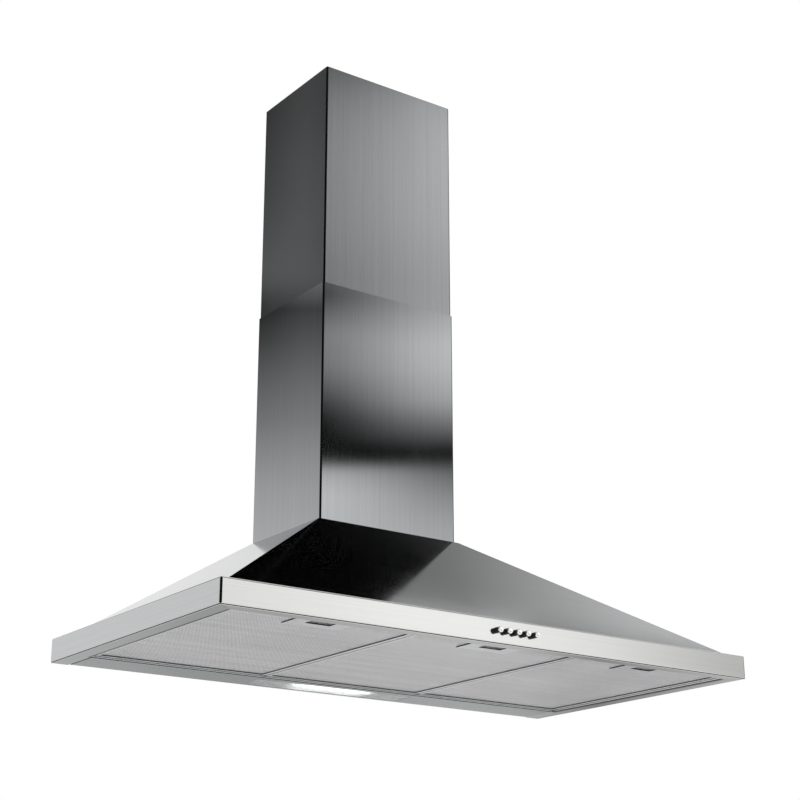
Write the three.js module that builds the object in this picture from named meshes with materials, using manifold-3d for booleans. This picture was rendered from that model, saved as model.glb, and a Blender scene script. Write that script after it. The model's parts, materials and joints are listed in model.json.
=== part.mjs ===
// Wall-mounted chimney range hood, 900 mm wide: a folded steel canopy with three
// grease filters, a double-inlet blower under its deck and two telescoping duct covers.
// Millimetres. +Z is up, the wall is behind at +Y and the user stands in front at -Y.
// Inside the group y = 0 is the wall and z = 0 is the underside of the rim.

import * as THREE from 'three';
import { mergeVertices } from 'three/addons/utils/BufferGeometryUtils.js';
import Module from 'manifold-3d';

// Overall size
const HOOD_WIDTH = 900;
const HOOD_DEPTH = 480;
const RIM_HEIGHT = 35;
const CANOPY_HEIGHT = 220;
const LOWER_COVER_TOP = 600;
const HOOD_HEIGHT = 980;

// Sheet metal
const SHEET = 1;
const BEND = 2.5;
const SEAT_GAP = 0.3;
const RIM_LEDGE = 15;
const SIDE_FLANGE = 29;
const FRONT_FLANGE = 22;
const FLANGE_LIP = 12;
const FRONT_WEB_DROP = 20;
const PANEL_RETURN = 3.5;

// Chimney covers
const CHIMNEY_WIDTH = 250;
const CHIMNEY_DEPTH = 194;
const DECK_LEDGE = 4;
const COVER_BACK_LIP = 16;
const COVER_CLEARANCE = 0.5;
const COVER_OVERLAP = 70;
const FOOT_TAB = 14;
const FOOT_TAB_LENGTH = 34;
const FOOT_TAB_INSET = 50;
const VENT_SLOT_LENGTH = 110;
const VENT_SLOT_WIDTH = 4;
const VENT_SLOT_PITCH = 8;
const VENT_SLOT_ROWS = 6;
const VENT_SLOT_ROUND = 1.9;
const BRACKET_SHEET = 1.5;
const BRACKET_BEND = 1.8;
const BRACKET_HEIGHT = 26;
const BRACKET_DROP = 12;
const BRACKET_ARM = 34;
const BRACKET_JOGGLE = 3;

// Rear plate and lamp
const REAR_PLATE_DEPTH = 70;
const REAR_PLATE_LIP = 9.5;
const REAR_PLATE_RETURN = 18;
const LAMP_LENGTH = 278;
const LAMP_WIDTH = 48;
const LAMP_SETBACK = 10;
const LAMP_WALL = 1.5;
const LAMP_FLANGE = 5;
const LENS_THICKNESS = 2;
const LENS_BEVEL = 1.2;
const LED_COUNT = 9;
const LED_PITCH = 16.5;
const LED_RADIUS = 2.5;
const LED_HEIGHT = 1.4;
const LED_LEVEL = 5;
const LED_BOARD_WIDTH = 16;

// Push buttons and their switch block
const BUTTON_COUNT = 5;
const BUTTON_PITCH = 16;
const BUTTON_OFFSET = 8;
const BUTTON_HEIGHT = 18;
const BUTTON_RADIUS = 4;
const BUTTON_ROUND = 1.1;
const BUTTON_REACH = 10.5;
const BUTTON_TRAVEL = 3;
const BUTTON_CLEARANCE = 0.4;
const BUTTON_SKIRT = 6;
const PLUNGER_RADIUS = 2.2;
const PLUNGER_LENGTH = 12;
const SWITCH_MARGIN = 12;
const SWITCH_HEIGHT = 17;
const SWITCH_DEPTH = 34;
const SWITCH_CORNER = 2;

// Grease filters
const FILTER_COUNT = 3;
const FILTER_GAP = 1.5;
const FILTER_THICKNESS = 9;
const FILTER_RECESS = 3;
const FILTER_BORDER = 7;
const FILTER_CORNER = 6;
const FILTER_SHEET = 1;
const PLEAT_PITCH = 24;
const PLEAT_RISE = 3;
const HOOK_WIDTH = 24;
const HOOK_REACH = 8;
const HOOK_SPREAD = 180;
const HOOK_SHEET = 1.2;

// Filter catch
const CATCH_WIDTH = 84;
const CATCH_DEPTH = 36;
const CATCH_PLATE = 1.2;
const CATCH_WALL = 1.2;
const FINGER_WIDTH = 38;
const FINGER_DEPTH = 16;
const LATCH_SHEET = 1.6;
const LATCH_TRAVEL = 5;
const LATCH_WIDTH = 30;
const TONGUE_WIDTH = 18;
const TONGUE_CLEARANCE = 0.5;
const LATCH_CLEARANCE = 0.4;

// Blower
const BLOWER_Y = -96;
const BLOWER_Z = 106;
const BLOWER_WIDTH = 136;
const BLOWER_WALL = 2;
const WHEEL_RADIUS = 60;
const WHEEL_BORE = 48;
const WHEEL_WIDTH = 112;
const WHEEL_CLEARANCE = 6;
const BLADE_COUNT = 20;
const BLADE_THICKNESS = 1.2;
const BLADE_SWEEP = 14;
const BLADE_STEPS = 2;
const WHEEL_RING = 2.5;
const HUB_RADIUS = 11;
const HUB_LENGTH = 12;
const SHAFT_RADIUS = 4;
const SHAFT_STICKOUT = 4;
const SHAFT_INSERT = 12;
const SCROLL_GROWTH = 20;
const SCROLL_START = -10;
const SCROLL_END = 270;
const INLET_RADIUS = 50;
const INLET_LIP = 7;
const OUTLET_FLANGE = 8;
const OUTLET_RISE = 70;
const BOSS_RADIUS = 5;
const BOSS_LENGTH = 10;
const BOSS_ANGLES = [30, 110, 180, 240];
const PILOT_RADIUS = 1.6;
const PILOT_DEPTH = 8;
const MOTOR_START = 7;
const MOTOR_RADIUS = 35;
const MOTOR_WAIST = 30;
const MOTOR_NOSE = 19;
const MOTOR_BELL = 16;
const MOTOR_ROUND = 6;
const MOTOR_TAIL = 8;
const SPIDER_THICKNESS = 3;
const SPIDER_RING = 8;
const SPIDER_ARM = 9;
const SPIDER_ARMS = 3;

// Duct collar and its back-draught flaps
const DUCT_RADIUS = 74;
const DUCT_WALL = 2;
const DUCT_Y = -106;
const COLLAR_HEIGHT = 70;
const COLLAR_FLANGE = 8;
const NECK_SCREW_INSET = 6;
const DECK_OPENING_CORNER = 40;
const FLAP_LEVEL = 14;
const FLAP_THICKNESS = 1.5;
const FLAP_CLEARANCE = 1.2;
const FLAP_PIN_RADIUS = 1.5;
const KNUCKLE_RADIUS = 3.2;
const KNUCKLE_CLEARANCE = 0.3;
const KNUCKLE_COUNT = 4;
const KNUCKLE_INSET = 3.5;

// Electrical parts
const CONTROL_BOX_WIDTH = 130;
const CONTROL_BOX_HEIGHT = 52;
const CONTROL_BOX_DEPTH = 44;
const CONTROL_BOX_X = -200;
const CONTROL_BOX_Z = 50;
const CONTROL_BOX_WALL = 2;
const CONTROL_BOX_CORNER = 4;
const CAPACITOR_RADIUS = 14;
const CAPACITOR_LENGTH = 58;
const CAPACITOR_EDGE = 2;
const CAPACITOR_X = 190;
const CAPACITOR_Z = 84;
const CLIP_SHEET = 2;
const CLIP_WIDTH = 16;
const GLAND_X = 96;
const GLAND_Y = -20;
const GLAND_RADIUS = 7;
const GLAND_BORE = 3.6;
const GLAND_HEIGHT = 16;
const GLAND_SHOULDER = 2;
const GLAND_NUT = 6;
const GLAND_TAPER = 1.5;
const GLAND_THREAD = 4;

// Wall fixing and screws
const KEYHOLE_SPREAD = 360;
const KEYHOLE_Z = 110;
const KEYHOLE_RADIUS = 6;
const KEYHOLE_LENGTH = 14;
const WALL_SCREW_RADIUS = 3;
const SCREW_RADIUS = 1.9;
const SCREW_HEAD = 3.8;
const SCREW_HEAD_FLAT = 2.7;
const SCREW_HEAD_HEIGHT = 2.2;
const SCREW_LENGTH = 7;
const SCREW_CLEARANCE = 0.3;

const ARC_STEPS = 3;
const ROUND_SIDES = 24;
const SMALL_SIDES = 12;
const SCREW_SIDES = 8;
const MOTOR_SIDES = 20;
const CUT_MARGIN = 1;

const wasm = await Module();
wasm.setup();

const finishes = {
  brushedSteel: finish(0x8f9294, 0.32, 1),
  glossSteel: finish(0xdcdcda, 0.2, 1),
  flangeSteel: finish(0x9fa3a4, 0.38, 1),
  galvanised: finish(0x9aa0a2, 0.5, 0.9),
  filterFrame: finish(0xa9acad, 0.35, 1),
  filterMesh: finish(0x9a9a9c, 0.6, 0.9),
  chrome: finish(0xc8c8c8, 0.08, 1),
  blackPlastic: finish(0x1b1b1c, 0.5, 0),
  greyPlastic: finish(0x55585a, 0.55, 0),
  whitePlastic: finish(0xe6e6e2, 0.5, 0),
  lens: finish(0xf1f4f4, 0.25, 0),
  board: finish(0xf4f4ee, 0.45, 0),
  motor: finish(0x6f7274, 0.45, 0.8),
  zinc: finish(0xb9bcc0, 0.3, 1),
};

const xAxis = new THREE.Vector3(1, 0, 0);
const yAxis = new THREE.Vector3(0, 1, 0);
const zAxis = new THREE.Vector3(0, 0, 1);
const frontAxis = new THREE.Vector3(0, -1, 0);
const downAxis = new THREE.Vector3(0, 0, -1);
const quarterTurn = Math.PI / 2;
const halfWidth = HOOD_WIDTH / 2;
const chimneyHalf = CHIMNEY_WIDTH / 2;
const deckHalf = chimneyHalf + DECK_LEDGE;
const deckDepth = CHIMNEY_DEPTH + DECK_LEDGE;
const mouthHalf = halfWidth - SIDE_FLANGE;
const mouthFront = FRONT_FLANGE - HOOD_DEPTH;

// ---- Shapes and solids ----

function finish(color, roughness, metalness) {
  return new THREE.MeshStandardMaterial({ color, roughness, metalness });
}

// A closed geometry as a manifold solid, with its shared points merged.
function toSolid(geometry) {
  const bare = new THREE.BufferGeometry();
  const flat = geometry.index ? geometry.toNonIndexed() : geometry;
  bare.setAttribute('position', flat.getAttribute('position'));
  const merged = mergeVertices(bare, 1e-4);
  const corners = merged.index.array;
  const triVerts = [];
  for (let i = 0; i < corners.length; i += 3) {
    const [a, b, c] = [corners[i], corners[i + 1], corners[i + 2]];
    if (a !== b && b !== c && c !== a) triVerts.push(a, b, c);
  }
  return new wasm.Manifold(new wasm.Mesh({
    numProp: 3,
    vertProperties: Float32Array.from(merged.getAttribute('position').array),
    triVerts: Uint32Array.from(triVerts),
  }));
}

function toGeometry(solid) {
  const mesh = solid.getMesh();
  const geometry = new THREE.BufferGeometry();
  geometry.setAttribute('position', new THREE.BufferAttribute(mesh.vertProperties, 3));
  geometry.setIndex(new THREE.BufferAttribute(mesh.triVerts, 1));
  const flat = geometry.toNonIndexed();
  flat.computeVertexNormals();
  return flat;
}

function part(name, solid, material) {
  const mesh = new THREE.Mesh(toGeometry(solid), material);
  mesh.name = name;
  return mesh;
}

function joined(solids) {
  return solids.reduce((whole, next) => whole.add(next));
}

function without(solid, cuts) {
  return cuts.reduce((left, cut) => left.subtract(cut), solid);
}

function block([x0, x1], [y0, y1], [z0, z1]) {
  const box = new THREE.BoxGeometry(x1 - x0, y1 - y0, z1 - z0);
  return toSolid(box.translate((x0 + x1) / 2, (y0 + y1) / 2, (z0 + z1) / 2));
}

// A round bar from one point to another.
function rod(radius, from, to, sides = SMALL_SIDES) {
  const start = new THREE.Vector3(...from);
  const run = new THREE.Vector3(...to).sub(start);
  const bar = new THREE.CylinderGeometry(radius, radius, run.length(), sides);
  bar.translate(0, run.length() / 2, 0);
  bar.applyQuaternion(new THREE.Quaternion().setFromUnitVectors(yAxis, run.normalize()));
  return toSolid(bar.translate(...from));
}

function tube(outer, inner, from, to, sides = ROUND_SIDES) {
  const axis = new THREE.Vector3(...to).sub(new THREE.Vector3(...from)).normalize();
  const start = new THREE.Vector3(...from).addScaledVector(axis, -CUT_MARGIN);
  const end = new THREE.Vector3(...to).addScaledVector(axis, CUT_MARGIN);
  return rod(outer, from, to, sides).subtract(rod(inner, start.toArray(), end.toArray(), sides));
}

// A turned piece: [radius, height] points from axis to axis, its axis along the given direction.
function turned(profile, direction, sides = ROUND_SIDES) {
  const lathe = new THREE.LatheGeometry(profile.map(([r, h]) => new THREE.Vector2(r, h)), sides);
  const turn = new THREE.Quaternion().setFromUnitVectors(yAxis, direction);
  return toSolid(lathe.applyQuaternion(turn));
}

function extruded(outline, length, steps) {
  const isShape = outline instanceof THREE.Shape;
  const shape = isShape ? outline : new THREE.Shape(outline.map(([u, v]) => new THREE.Vector2(u, v)));
  return new THREE.ExtrudeGeometry(shape, { depth: length, bevelEnabled: false, curveSegments: steps });
}

// Outlines drawn in (y, z) and run along X, in (x, z) and run along Y, in (x, y) and run along Z.
function alongX(outline, x0, x1, steps = ARC_STEPS) {
  const toYZ = new THREE.Matrix4().makeBasis(yAxis, zAxis, xAxis);
  return toSolid(extruded(outline, x1 - x0, steps).applyMatrix4(toYZ).translate(x0, 0, 0));
}

function alongY(outline, y0, y1, steps = ARC_STEPS) {
  const toXZ = new THREE.Matrix4().makeBasis(xAxis, zAxis, frontAxis);
  return toSolid(extruded(outline, y1 - y0, steps).applyMatrix4(toXZ).translate(0, y1, 0));
}

function alongZ(outline, z0, z1, steps = ARC_STEPS) {
  return toSolid(extruded(outline, z1 - z0, steps).translate(0, 0, z0));
}

// The points of a rounded corner between two headings.
function roundedCorner(corner, before, after, radius) {
  const turn = Math.atan2(before.cross(after), before.dot(after));
  if (radius <= 0 || Math.abs(turn) < 1e-6) return [corner];
  const side = Math.sign(turn);
  const start = corner.clone().addScaledVector(before, -radius * Math.tan(Math.abs(turn) / 2));
  const centre = new THREE.Vector2(-before.y, before.x).multiplyScalar(side * radius).add(start);
  const points = [];
  for (let i = 0; i <= ARC_STEPS; i += 1) {
    points.push(start.clone().rotateAround(centre, (turn * i) / ARC_STEPS));
  }
  return points;
}

// The outline of a folded sheet: the path is one face and the metal lies on its left.
function foldedSheet(path, sheet = SHEET, bend = BEND) {
  const corners = path.map(([u, v]) => new THREE.Vector2(u, v));
  const headings = corners.slice(1).map((point, i) => point.clone().sub(corners[i]).normalize());
  const leftOf = (heading) => new THREE.Vector2(-heading.y, heading.x);
  const face = [corners[0]];
  const back = [corners[0].clone().addScaledVector(leftOf(headings[0]), sheet)];
  for (let i = 1; i < corners.length - 1; i += 1) {
    const [before, after] = [headings[i - 1], headings[i]];
    const towardsMetal = before.cross(after) > 0;
    const mitre = leftOf(before).add(leftOf(after)).multiplyScalar(sheet / (1 + before.dot(after)));
    const inside = corners[i].clone().add(mitre);
    face.push(...roundedCorner(corners[i], before, after, towardsMetal ? bend : bend - sheet));
    back.push(...roundedCorner(inside, before, after, towardsMetal ? bend - sheet : bend));
  }
  const last = headings.length - 1;
  face.push(corners[last + 1]);
  back.push(corners[last + 1].clone().addScaledVector(leftOf(headings[last]), sheet));
  return new THREE.Shape([...face, ...back.reverse()]);
}

// A closed outline with every corner rounded like a bend in the sheet.
function bentOutline(points) {
  const corners = points.map(([u, v]) => new THREE.Vector2(u, v));
  const count = corners.length;
  return new THREE.Shape(corners.flatMap((corner, i) => {
    const before = corner.clone().sub(corners[(i + count - 1) % count]).normalize();
    const after = corners[(i + 1) % count].clone().sub(corner).normalize();
    return roundedCorner(corner, before, after, BEND);
  }));
}

function roundedRectangle(width, height, radius, centreX = 0, centreY = 0) {
  const [right, top] = [centreX + width / 2, centreY + height / 2];
  const [left, bottom] = [centreX - width / 2, centreY - height / 2];
  const shape = new THREE.Shape();
  shape.moveTo(left + radius, bottom);
  shape.lineTo(right - radius, bottom);
  shape.absarc(right - radius, bottom + radius, radius, -quarterTurn, 0, false);
  shape.lineTo(right, top - radius);
  shape.absarc(right - radius, top - radius, radius, 0, quarterTurn, false);
  shape.lineTo(left + radius, top);
  shape.absarc(left + radius, top - radius, radius, quarterTurn, Math.PI, false);
  shape.lineTo(left, bottom + radius);
  shape.absarc(left + radius, bottom + radius, radius, Math.PI, Math.PI + quarterTurn, false);
  return shape;
}

// A closed skin through rings of points that all have the same count.
function lofted(rings) {
  const count = rings[0].length;
  const positions = rings.flat().flatMap((point) => [point.x, point.y, point.z]);
  const index = [];
  for (let r = 0; r < rings.length - 1; r += 1) {
    for (let k = 0; k < count; k += 1) {
      const a = r * count + k;
      const b = r * count + ((k + 1) % count);
      index.push(a, b, a + count, b, b + count, a + count);
    }
  }
  const top = (rings.length - 1) * count;
  for (let k = 1; k < count - 1; k += 1) {
    index.push(0, k + 1, k, top, top + k, top + k + 1);
  }
  const skin = new THREE.BufferGeometry();
  skin.setAttribute('position', new THREE.Float32BufferAttribute(positions, 3));
  skin.setIndex(index);
  return toSolid(skin);
}

// ---- Canopy ----

// Half width and front of the pyramid at a height, drawn in from its outer faces by a sheet.
function pyramidRing(z, sheet, rear) {
  const rise = CANOPY_HEIGHT - RIM_HEIGHT;
  const sideRun = halfWidth - RIM_LEDGE - deckHalf;
  const frontRun = HOOD_DEPTH - RIM_LEDGE - deckDepth;
  const level = (z - RIM_HEIGHT) / rise;
  const half = halfWidth - RIM_LEDGE - sideRun * level - sheet * Math.hypot(1, sideRun / rise);
  const front = RIM_LEDGE - HOOD_DEPTH + frontRun * level + sheet * Math.hypot(1, frontRun / rise);
  const corners = [[-half, front], [half, front], [half, rear], [-half, rear]];
  return corners.map(([x, y]) => new THREE.Vector3(x, y, z));
}

// Upright holes through a sheet.
function holeThrough(radius, x, y, z0, z1, sides = SCREW_SIDES) {
  return rod(radius, [x, y, z0 - CUT_MARGIN], [x, y, z1 + CUT_MARGIN], sides);
}

function screwHole(x, y, z0, z1) {
  return holeThrough(SCREW_RADIUS + SCREW_CLEARANCE, x, y, z0, z1);
}

// The four screws that hold the blower's neck under the deck, and the four in the chimney's foot tabs.
const neckScrewPlaces = [-1, 1].flatMap((side) => [-1, 1].map((end) => [
  side * (DUCT_RADIUS + COLLAR_FLANGE - NECK_SCREW_INSET),
  DUCT_Y + end * (DUCT_RADIUS - NECK_SCREW_INSET),
]));
const footTabPlaces = [-FOOT_TAB_INSET, FOOT_TAB_INSET - CHIMNEY_DEPTH];
const footScrewPlaces = [-1, 1].flatMap((side) => footTabPlaces.map((y) => [
  side * (chimneyHalf - SHEET - FOOT_TAB / 2),
  y,
]));

function canopyShell() {
  const rear = CUT_MARGIN;
  const innerHalf = halfWidth - SHEET;
  const rims = [-1, 1].map(sideRim);
  const pyramid = lofted([pyramidRing(RIM_HEIGHT - SHEET, 0, 0), pyramidRing(CANOPY_HEIGHT, 0, 0)]);
  const panelSeat = block([-innerHalf, innerHalf], [-SHEET - SEAT_GAP, rear], [SHEET, RIM_HEIGHT - SHEET]);
  const room = lofted([
    pyramidRing(RIM_HEIGHT - SHEET - CUT_MARGIN, SHEET, rear),
    pyramidRing(CANOPY_HEIGHT - SHEET, SHEET, rear),
  ]);
  const frontLedge = block(
    [-halfWidth + RIM_LEDGE, halfWidth - RIM_LEDGE],
    [-HOOD_DEPTH, RIM_LEDGE - HOOD_DEPTH - SHEET],
    [RIM_HEIGHT - SHEET * 2, RIM_HEIGHT + CUT_MARGIN],
  );
  const deckFoot = CANOPY_HEIGHT - SHEET;
  const openingWidth = (DUCT_RADIUS - DUCT_WALL) * 2;
  const opening = roundedRectangle(openingWidth, openingWidth, DECK_OPENING_CORNER, 0, DUCT_Y);
  const outlet = alongZ(opening, deckFoot - CUT_MARGIN, CANOPY_HEIGHT + CUT_MARGIN);
  const frontCorners = [-1, 1].flatMap((side) => [
    mitreWedge(side, RIM_LEDGE, RIM_LEDGE, RIM_HEIGHT - SHEET * 2, RIM_HEIGHT + CUT_MARGIN),
    mitreWedge(side, SIDE_FLANGE, FRONT_FLANGE, -CUT_MARGIN, FLANGE_LIP + CUT_MARGIN),
  ]);
  const shell = without(joined([pyramid, ...rims]), [panelSeat, room, frontLedge, outlet, ...frontCorners]);
  const webSpan = halfWidth - RIM_LEDGE - SHEET;
  const webFront = RIM_LEDGE - HOOD_DEPTH;
  const web = block(
    [-webSpan, webSpan],
    [webFront, webFront + SHEET],
    [RIM_HEIGHT - FRONT_WEB_DROP, RIM_HEIGHT - SHEET / 2],
  );
  const switchWindow = block(
    [switchEnds[0] - SEAT_GAP, switchEnds[1] + SEAT_GAP],
    [webFront - CUT_MARGIN, webFront + SHEET + CUT_MARGIN],
    [0, switchTop + SEAT_GAP],
  );
  const glandNeck = GLAND_RADIUS - GLAND_SHOULDER;
  const glandHole = holeThrough(glandNeck, GLAND_X, GLAND_Y, deckFoot, CANOPY_HEIGHT, SMALL_SIDES);
  const screwPlaces = [...neckScrewPlaces, ...footScrewPlaces];
  const holes = screwPlaces.map(([x, y]) => screwHole(x, y, deckFoot, CANOPY_HEIGHT));
  return without(shell.add(web), [switchWindow, glandHole, ...holes]);
}

// A side of the rim, folded from the ledge down to the lip along the mouth.
function sideRim(side) {
  const path = [
    [halfWidth - RIM_LEDGE, RIM_HEIGHT],
    [halfWidth, RIM_HEIGHT],
    [halfWidth, 0],
    [mouthHalf, 0],
    [mouthHalf, FLANGE_LIP],
  ];
  const profile = foldedSheet(side > 0 ? path.reverse() : path.map(([x, z]) => [-x, z]));
  return alongY(profile, PANEL_RETURN + SEAT_GAP - HOOD_DEPTH, 0);
}

// The corner that a side flange gives up to the front panel, with the seating gap along the mitre.
function mitreWedge(side, inward, back, z0, z1) {
  const slope = inward / back;
  const gapAlongX = SEAT_GAP * Math.hypot(1, slope);
  const points = [
    [halfWidth + gapAlongX, -HOOD_DEPTH],
    [halfWidth - inward - CUT_MARGIN * slope + gapAlongX, back - HOOD_DEPTH + CUT_MARGIN],
    [0, back - HOOD_DEPTH + CUT_MARGIN],
    [0, -HOOD_DEPTH],
  ];
  return alongZ(points.map(([x, y]) => [side * x, y]), z0, z1);
}

function frontPanel() {
  const front = -HOOD_DEPTH;
  const profile = foldedSheet([
    [front + RIM_LEDGE - SHEET - SEAT_GAP, RIM_HEIGHT],
    [front, RIM_HEIGHT],
    [front, 0],
    [mouthFront, 0],
    [mouthFront, FLANGE_LIP],
  ]);
  const strip = alongX(profile, -halfWidth, halfWidth);
  const returns = [-1, 1].map(panelReturn);
  const [left, right, top] = [-halfWidth, halfWidth, RIM_HEIGHT];
  const faces = [
    alongX(bentOutline([[front, 0], [0, 0], [0, top], [front, top]]), left, right),
    alongY(bentOutline([[left, 0], [right, 0], [right, top], [left, top]]), front, 0),
    alongZ(bentOutline([[left, front], [right, front], [right, 0], [left, 0]]), 0, top),
  ];
  const folded = faces.reduce((panel, face) => panel.intersect(face), joined([strip, ...returns]));
  const corners = [-1, 1].flatMap((side) => [
    cornerWedge(side, RIM_LEDGE, RIM_LEDGE, RIM_HEIGHT / 2, RIM_HEIGHT + CUT_MARGIN),
    cornerWedge(side, SIDE_FLANGE, FRONT_FLANGE, -CUT_MARGIN, RIM_HEIGHT / 2),
  ]);
  const holes = buttonPlaces.map((x) => rod(
    BUTTON_RADIUS + BUTTON_CLEARANCE,
    [x, front - CUT_MARGIN, BUTTON_HEIGHT],
    [x, front + SHEET + CUT_MARGIN, BUTTON_HEIGHT],
  ));
  const slots = filterCentres.map((x) => block(
    [x - TONGUE_WIDTH / 2 - SHEET, x + TONGUE_WIDTH / 2 + SHEET],
    [mouthFront - SHEET - CUT_MARGIN, mouthFront + CUT_MARGIN],
    [tongueLevel - SHEET, tongueLevel + LATCH_SHEET + SHEET],
  ));
  return without(folded, [...corners, ...holes, ...slots]);
}

// The short fold at an end of the front panel, round the corner of the rim.
function panelReturn(side) {
  const front = -HOOD_DEPTH;
  const path = [
    [halfWidth - PANEL_RETURN, front],
    [halfWidth, front],
    [halfWidth, front + PANEL_RETURN],
  ];
  const outline = foldedSheet(side > 0 ? path : path.map(([x, y]) => [-x, y]).reverse());
  return alongZ(outline, 0, RIM_HEIGHT);
}

// The corner that the front panel gives up to a side flange, behind its own ends.
function cornerWedge(side, inward, back, z0, z1) {
  const behind = PANEL_RETURN;
  const slope = inward / back;
  const points = [
    [halfWidth + CUT_MARGIN, behind - HOOD_DEPTH],
    [halfWidth - slope * behind, behind - HOOD_DEPTH],
    [halfWidth - inward - CUT_MARGIN * slope, back - HOOD_DEPTH + CUT_MARGIN],
    [halfWidth + CUT_MARGIN, back - HOOD_DEPTH + CUT_MARGIN],
  ];
  return alongZ(points.map(([x, y]) => [side * x, y]), z0, z1);
}

function rearPlate() {
  const back = -SHEET - SEAT_GAP;
  const profile = foldedSheet([
    [back, REAR_PLATE_RETURN],
    [back, 0],
    [-REAR_PLATE_DEPTH, 0],
    [-REAR_PLATE_DEPTH, REAR_PLATE_LIP],
  ].reverse());
  const end = mouthHalf - SEAT_GAP;
  const plate = alongX(profile, -end, end);
  const opening = block(
    [-LAMP_LENGTH / 2, LAMP_LENGTH / 2],
    [-LAMP_SETBACK - LAMP_WIDTH, -LAMP_SETBACK],
    [-CUT_MARGIN, SHEET + CUT_MARGIN],
  );
  return plate.subtract(opening);
}

function backPanel() {
  const inset = SHEET + SEAT_GAP;
  const slack = SEAT_GAP * Math.SQRT2;
  const [low] = pyramidRing(RIM_HEIGHT, inset, 0);
  const [high] = pyramidRing(CANOPY_HEIGHT - inset, inset, 0);
  const right = [
    [halfWidth - inset, inset],
    [halfWidth - inset, RIM_HEIGHT - inset],
    [-low.x - slack, RIM_HEIGHT - inset],
    [-high.x - slack, CANOPY_HEIGHT - inset],
  ];
  const left = right.map(([x, z]) => [-x, z]).reverse();
  const panel = alongY([...right, ...left], -SHEET, 0);
  const keyholes = [-1, 1].flatMap((side) => {
    const x = (side * KEYHOLE_SPREAD) / 2;
    const through = [-SHEET - CUT_MARGIN, CUT_MARGIN];
    return [
      rod(KEYHOLE_RADIUS, [x, through[0], KEYHOLE_Z], [x, through[1], KEYHOLE_Z]),
      block([x - WALL_SCREW_RADIUS, x + WALL_SCREW_RADIUS], through, [KEYHOLE_Z, KEYHOLE_Z + KEYHOLE_LENGTH]),
    ];
  });
  return without(panel, keyholes);
}

// ---- Lamp ----

function lampPieces() {
  const [x0, x1] = [-LAMP_LENGTH / 2 + SEAT_GAP, LAMP_LENGTH / 2 - SEAT_GAP];
  const [y0, y1] = [-LAMP_SETBACK - LAMP_WIDTH + SEAT_GAP, -LAMP_SETBACK - SEAT_GAP];
  const lensRing = (z, inset) => [
    [x0 + inset, y0 + inset],
    [x1 - inset, y0 + inset],
    [x1 - inset, y1 - inset],
    [x0 + inset, y1 - inset],
  ].map(([x, y]) => new THREE.Vector3(x, y, z));
  const lens = lofted([lensRing(0, LENS_BEVEL), lensRing(LENS_BEVEL, 0), lensRing(LENS_THICKNESS, 0)]);

  const trayFoot = LENS_THICKNESS + SEAT_GAP;
  const boardFoot = LED_LEVEL + LED_HEIGHT;
  const boardTop = boardFoot + LAMP_WALL;
  const trayTop = boardTop + SEAT_GAP + LAMP_WALL;
  const tray = block([x0, x1], [y0, y1], [trayFoot, trayTop]);
  const flange = block(
    [x0 - LAMP_FLANGE, x1 + LAMP_FLANGE],
    [y0 - LAMP_FLANGE, y1 + LAMP_FLANGE],
    [trayFoot, trayFoot + LAMP_WALL],
  );
  const trayRoom = block(
    [x0 + LAMP_WALL, x1 - LAMP_WALL],
    [y0 + LAMP_WALL, y1 - LAMP_WALL],
    [trayFoot - CUT_MARGIN, trayTop - LAMP_WALL],
  );

  const boardHalf = (LED_COUNT * LED_PITCH) / 2;
  const centreY = (y0 + y1) / 2;
  const board = block(
    [-boardHalf, boardHalf],
    [centreY - LED_BOARD_WIDTH / 2, centreY + LED_BOARD_WIDTH / 2],
    [boardFoot, boardTop],
  );
  const chips = Array.from({ length: LED_COUNT }, (_, i) => {
    const x = (i - (LED_COUNT - 1) / 2) * LED_PITCH;
    return rod(LED_RADIUS, [x, centreY, LED_LEVEL], [x, centreY, boardFoot + LAMP_WALL / 2], SCREW_SIDES);
  });
  return [
    part('lamp_lens', lens, finishes.lens),
    part('lamp_housing', tray.add(flange).subtract(trayRoom), finishes.whitePlastic),
    part('led_strip', joined([board, ...chips]), finishes.board),
  ];
}

// ---- Chimney ----

function lowerCover() {
  const foot = CANOPY_HEIGHT + SEAT_GAP;
  const profile = foldedSheet([
    [COVER_BACK_LIP - chimneyHalf, 0],
    [-chimneyHalf, 0],
    [-chimneyHalf, -CHIMNEY_DEPTH],
    [chimneyHalf, -CHIMNEY_DEPTH],
    [chimneyHalf, 0],
    [chimneyHalf - COVER_BACK_LIP, 0],
  ]);
  const cover = alongZ(profile, foot, LOWER_COVER_TOP);
  const tabs = footScrewPlaces.map(([x, y]) => block(
    [x - FOOT_TAB / 2 - SHEET / 2, x + FOOT_TAB / 2 + SHEET / 2],
    [y - FOOT_TAB_LENGTH / 2, y + FOOT_TAB_LENGTH / 2],
    [foot, foot + SHEET],
  ));
  const holes = footScrewPlaces.map(([x, y]) => screwHole(x, y, foot, foot + SHEET));
  return without(joined([cover, ...tabs]), holes);
}

const upperInset = SHEET + COVER_CLEARANCE;
const upperHalf = chimneyHalf - upperInset;
const upperFront = upperInset - CHIMNEY_DEPTH;
const upperBack = -upperInset;

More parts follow.
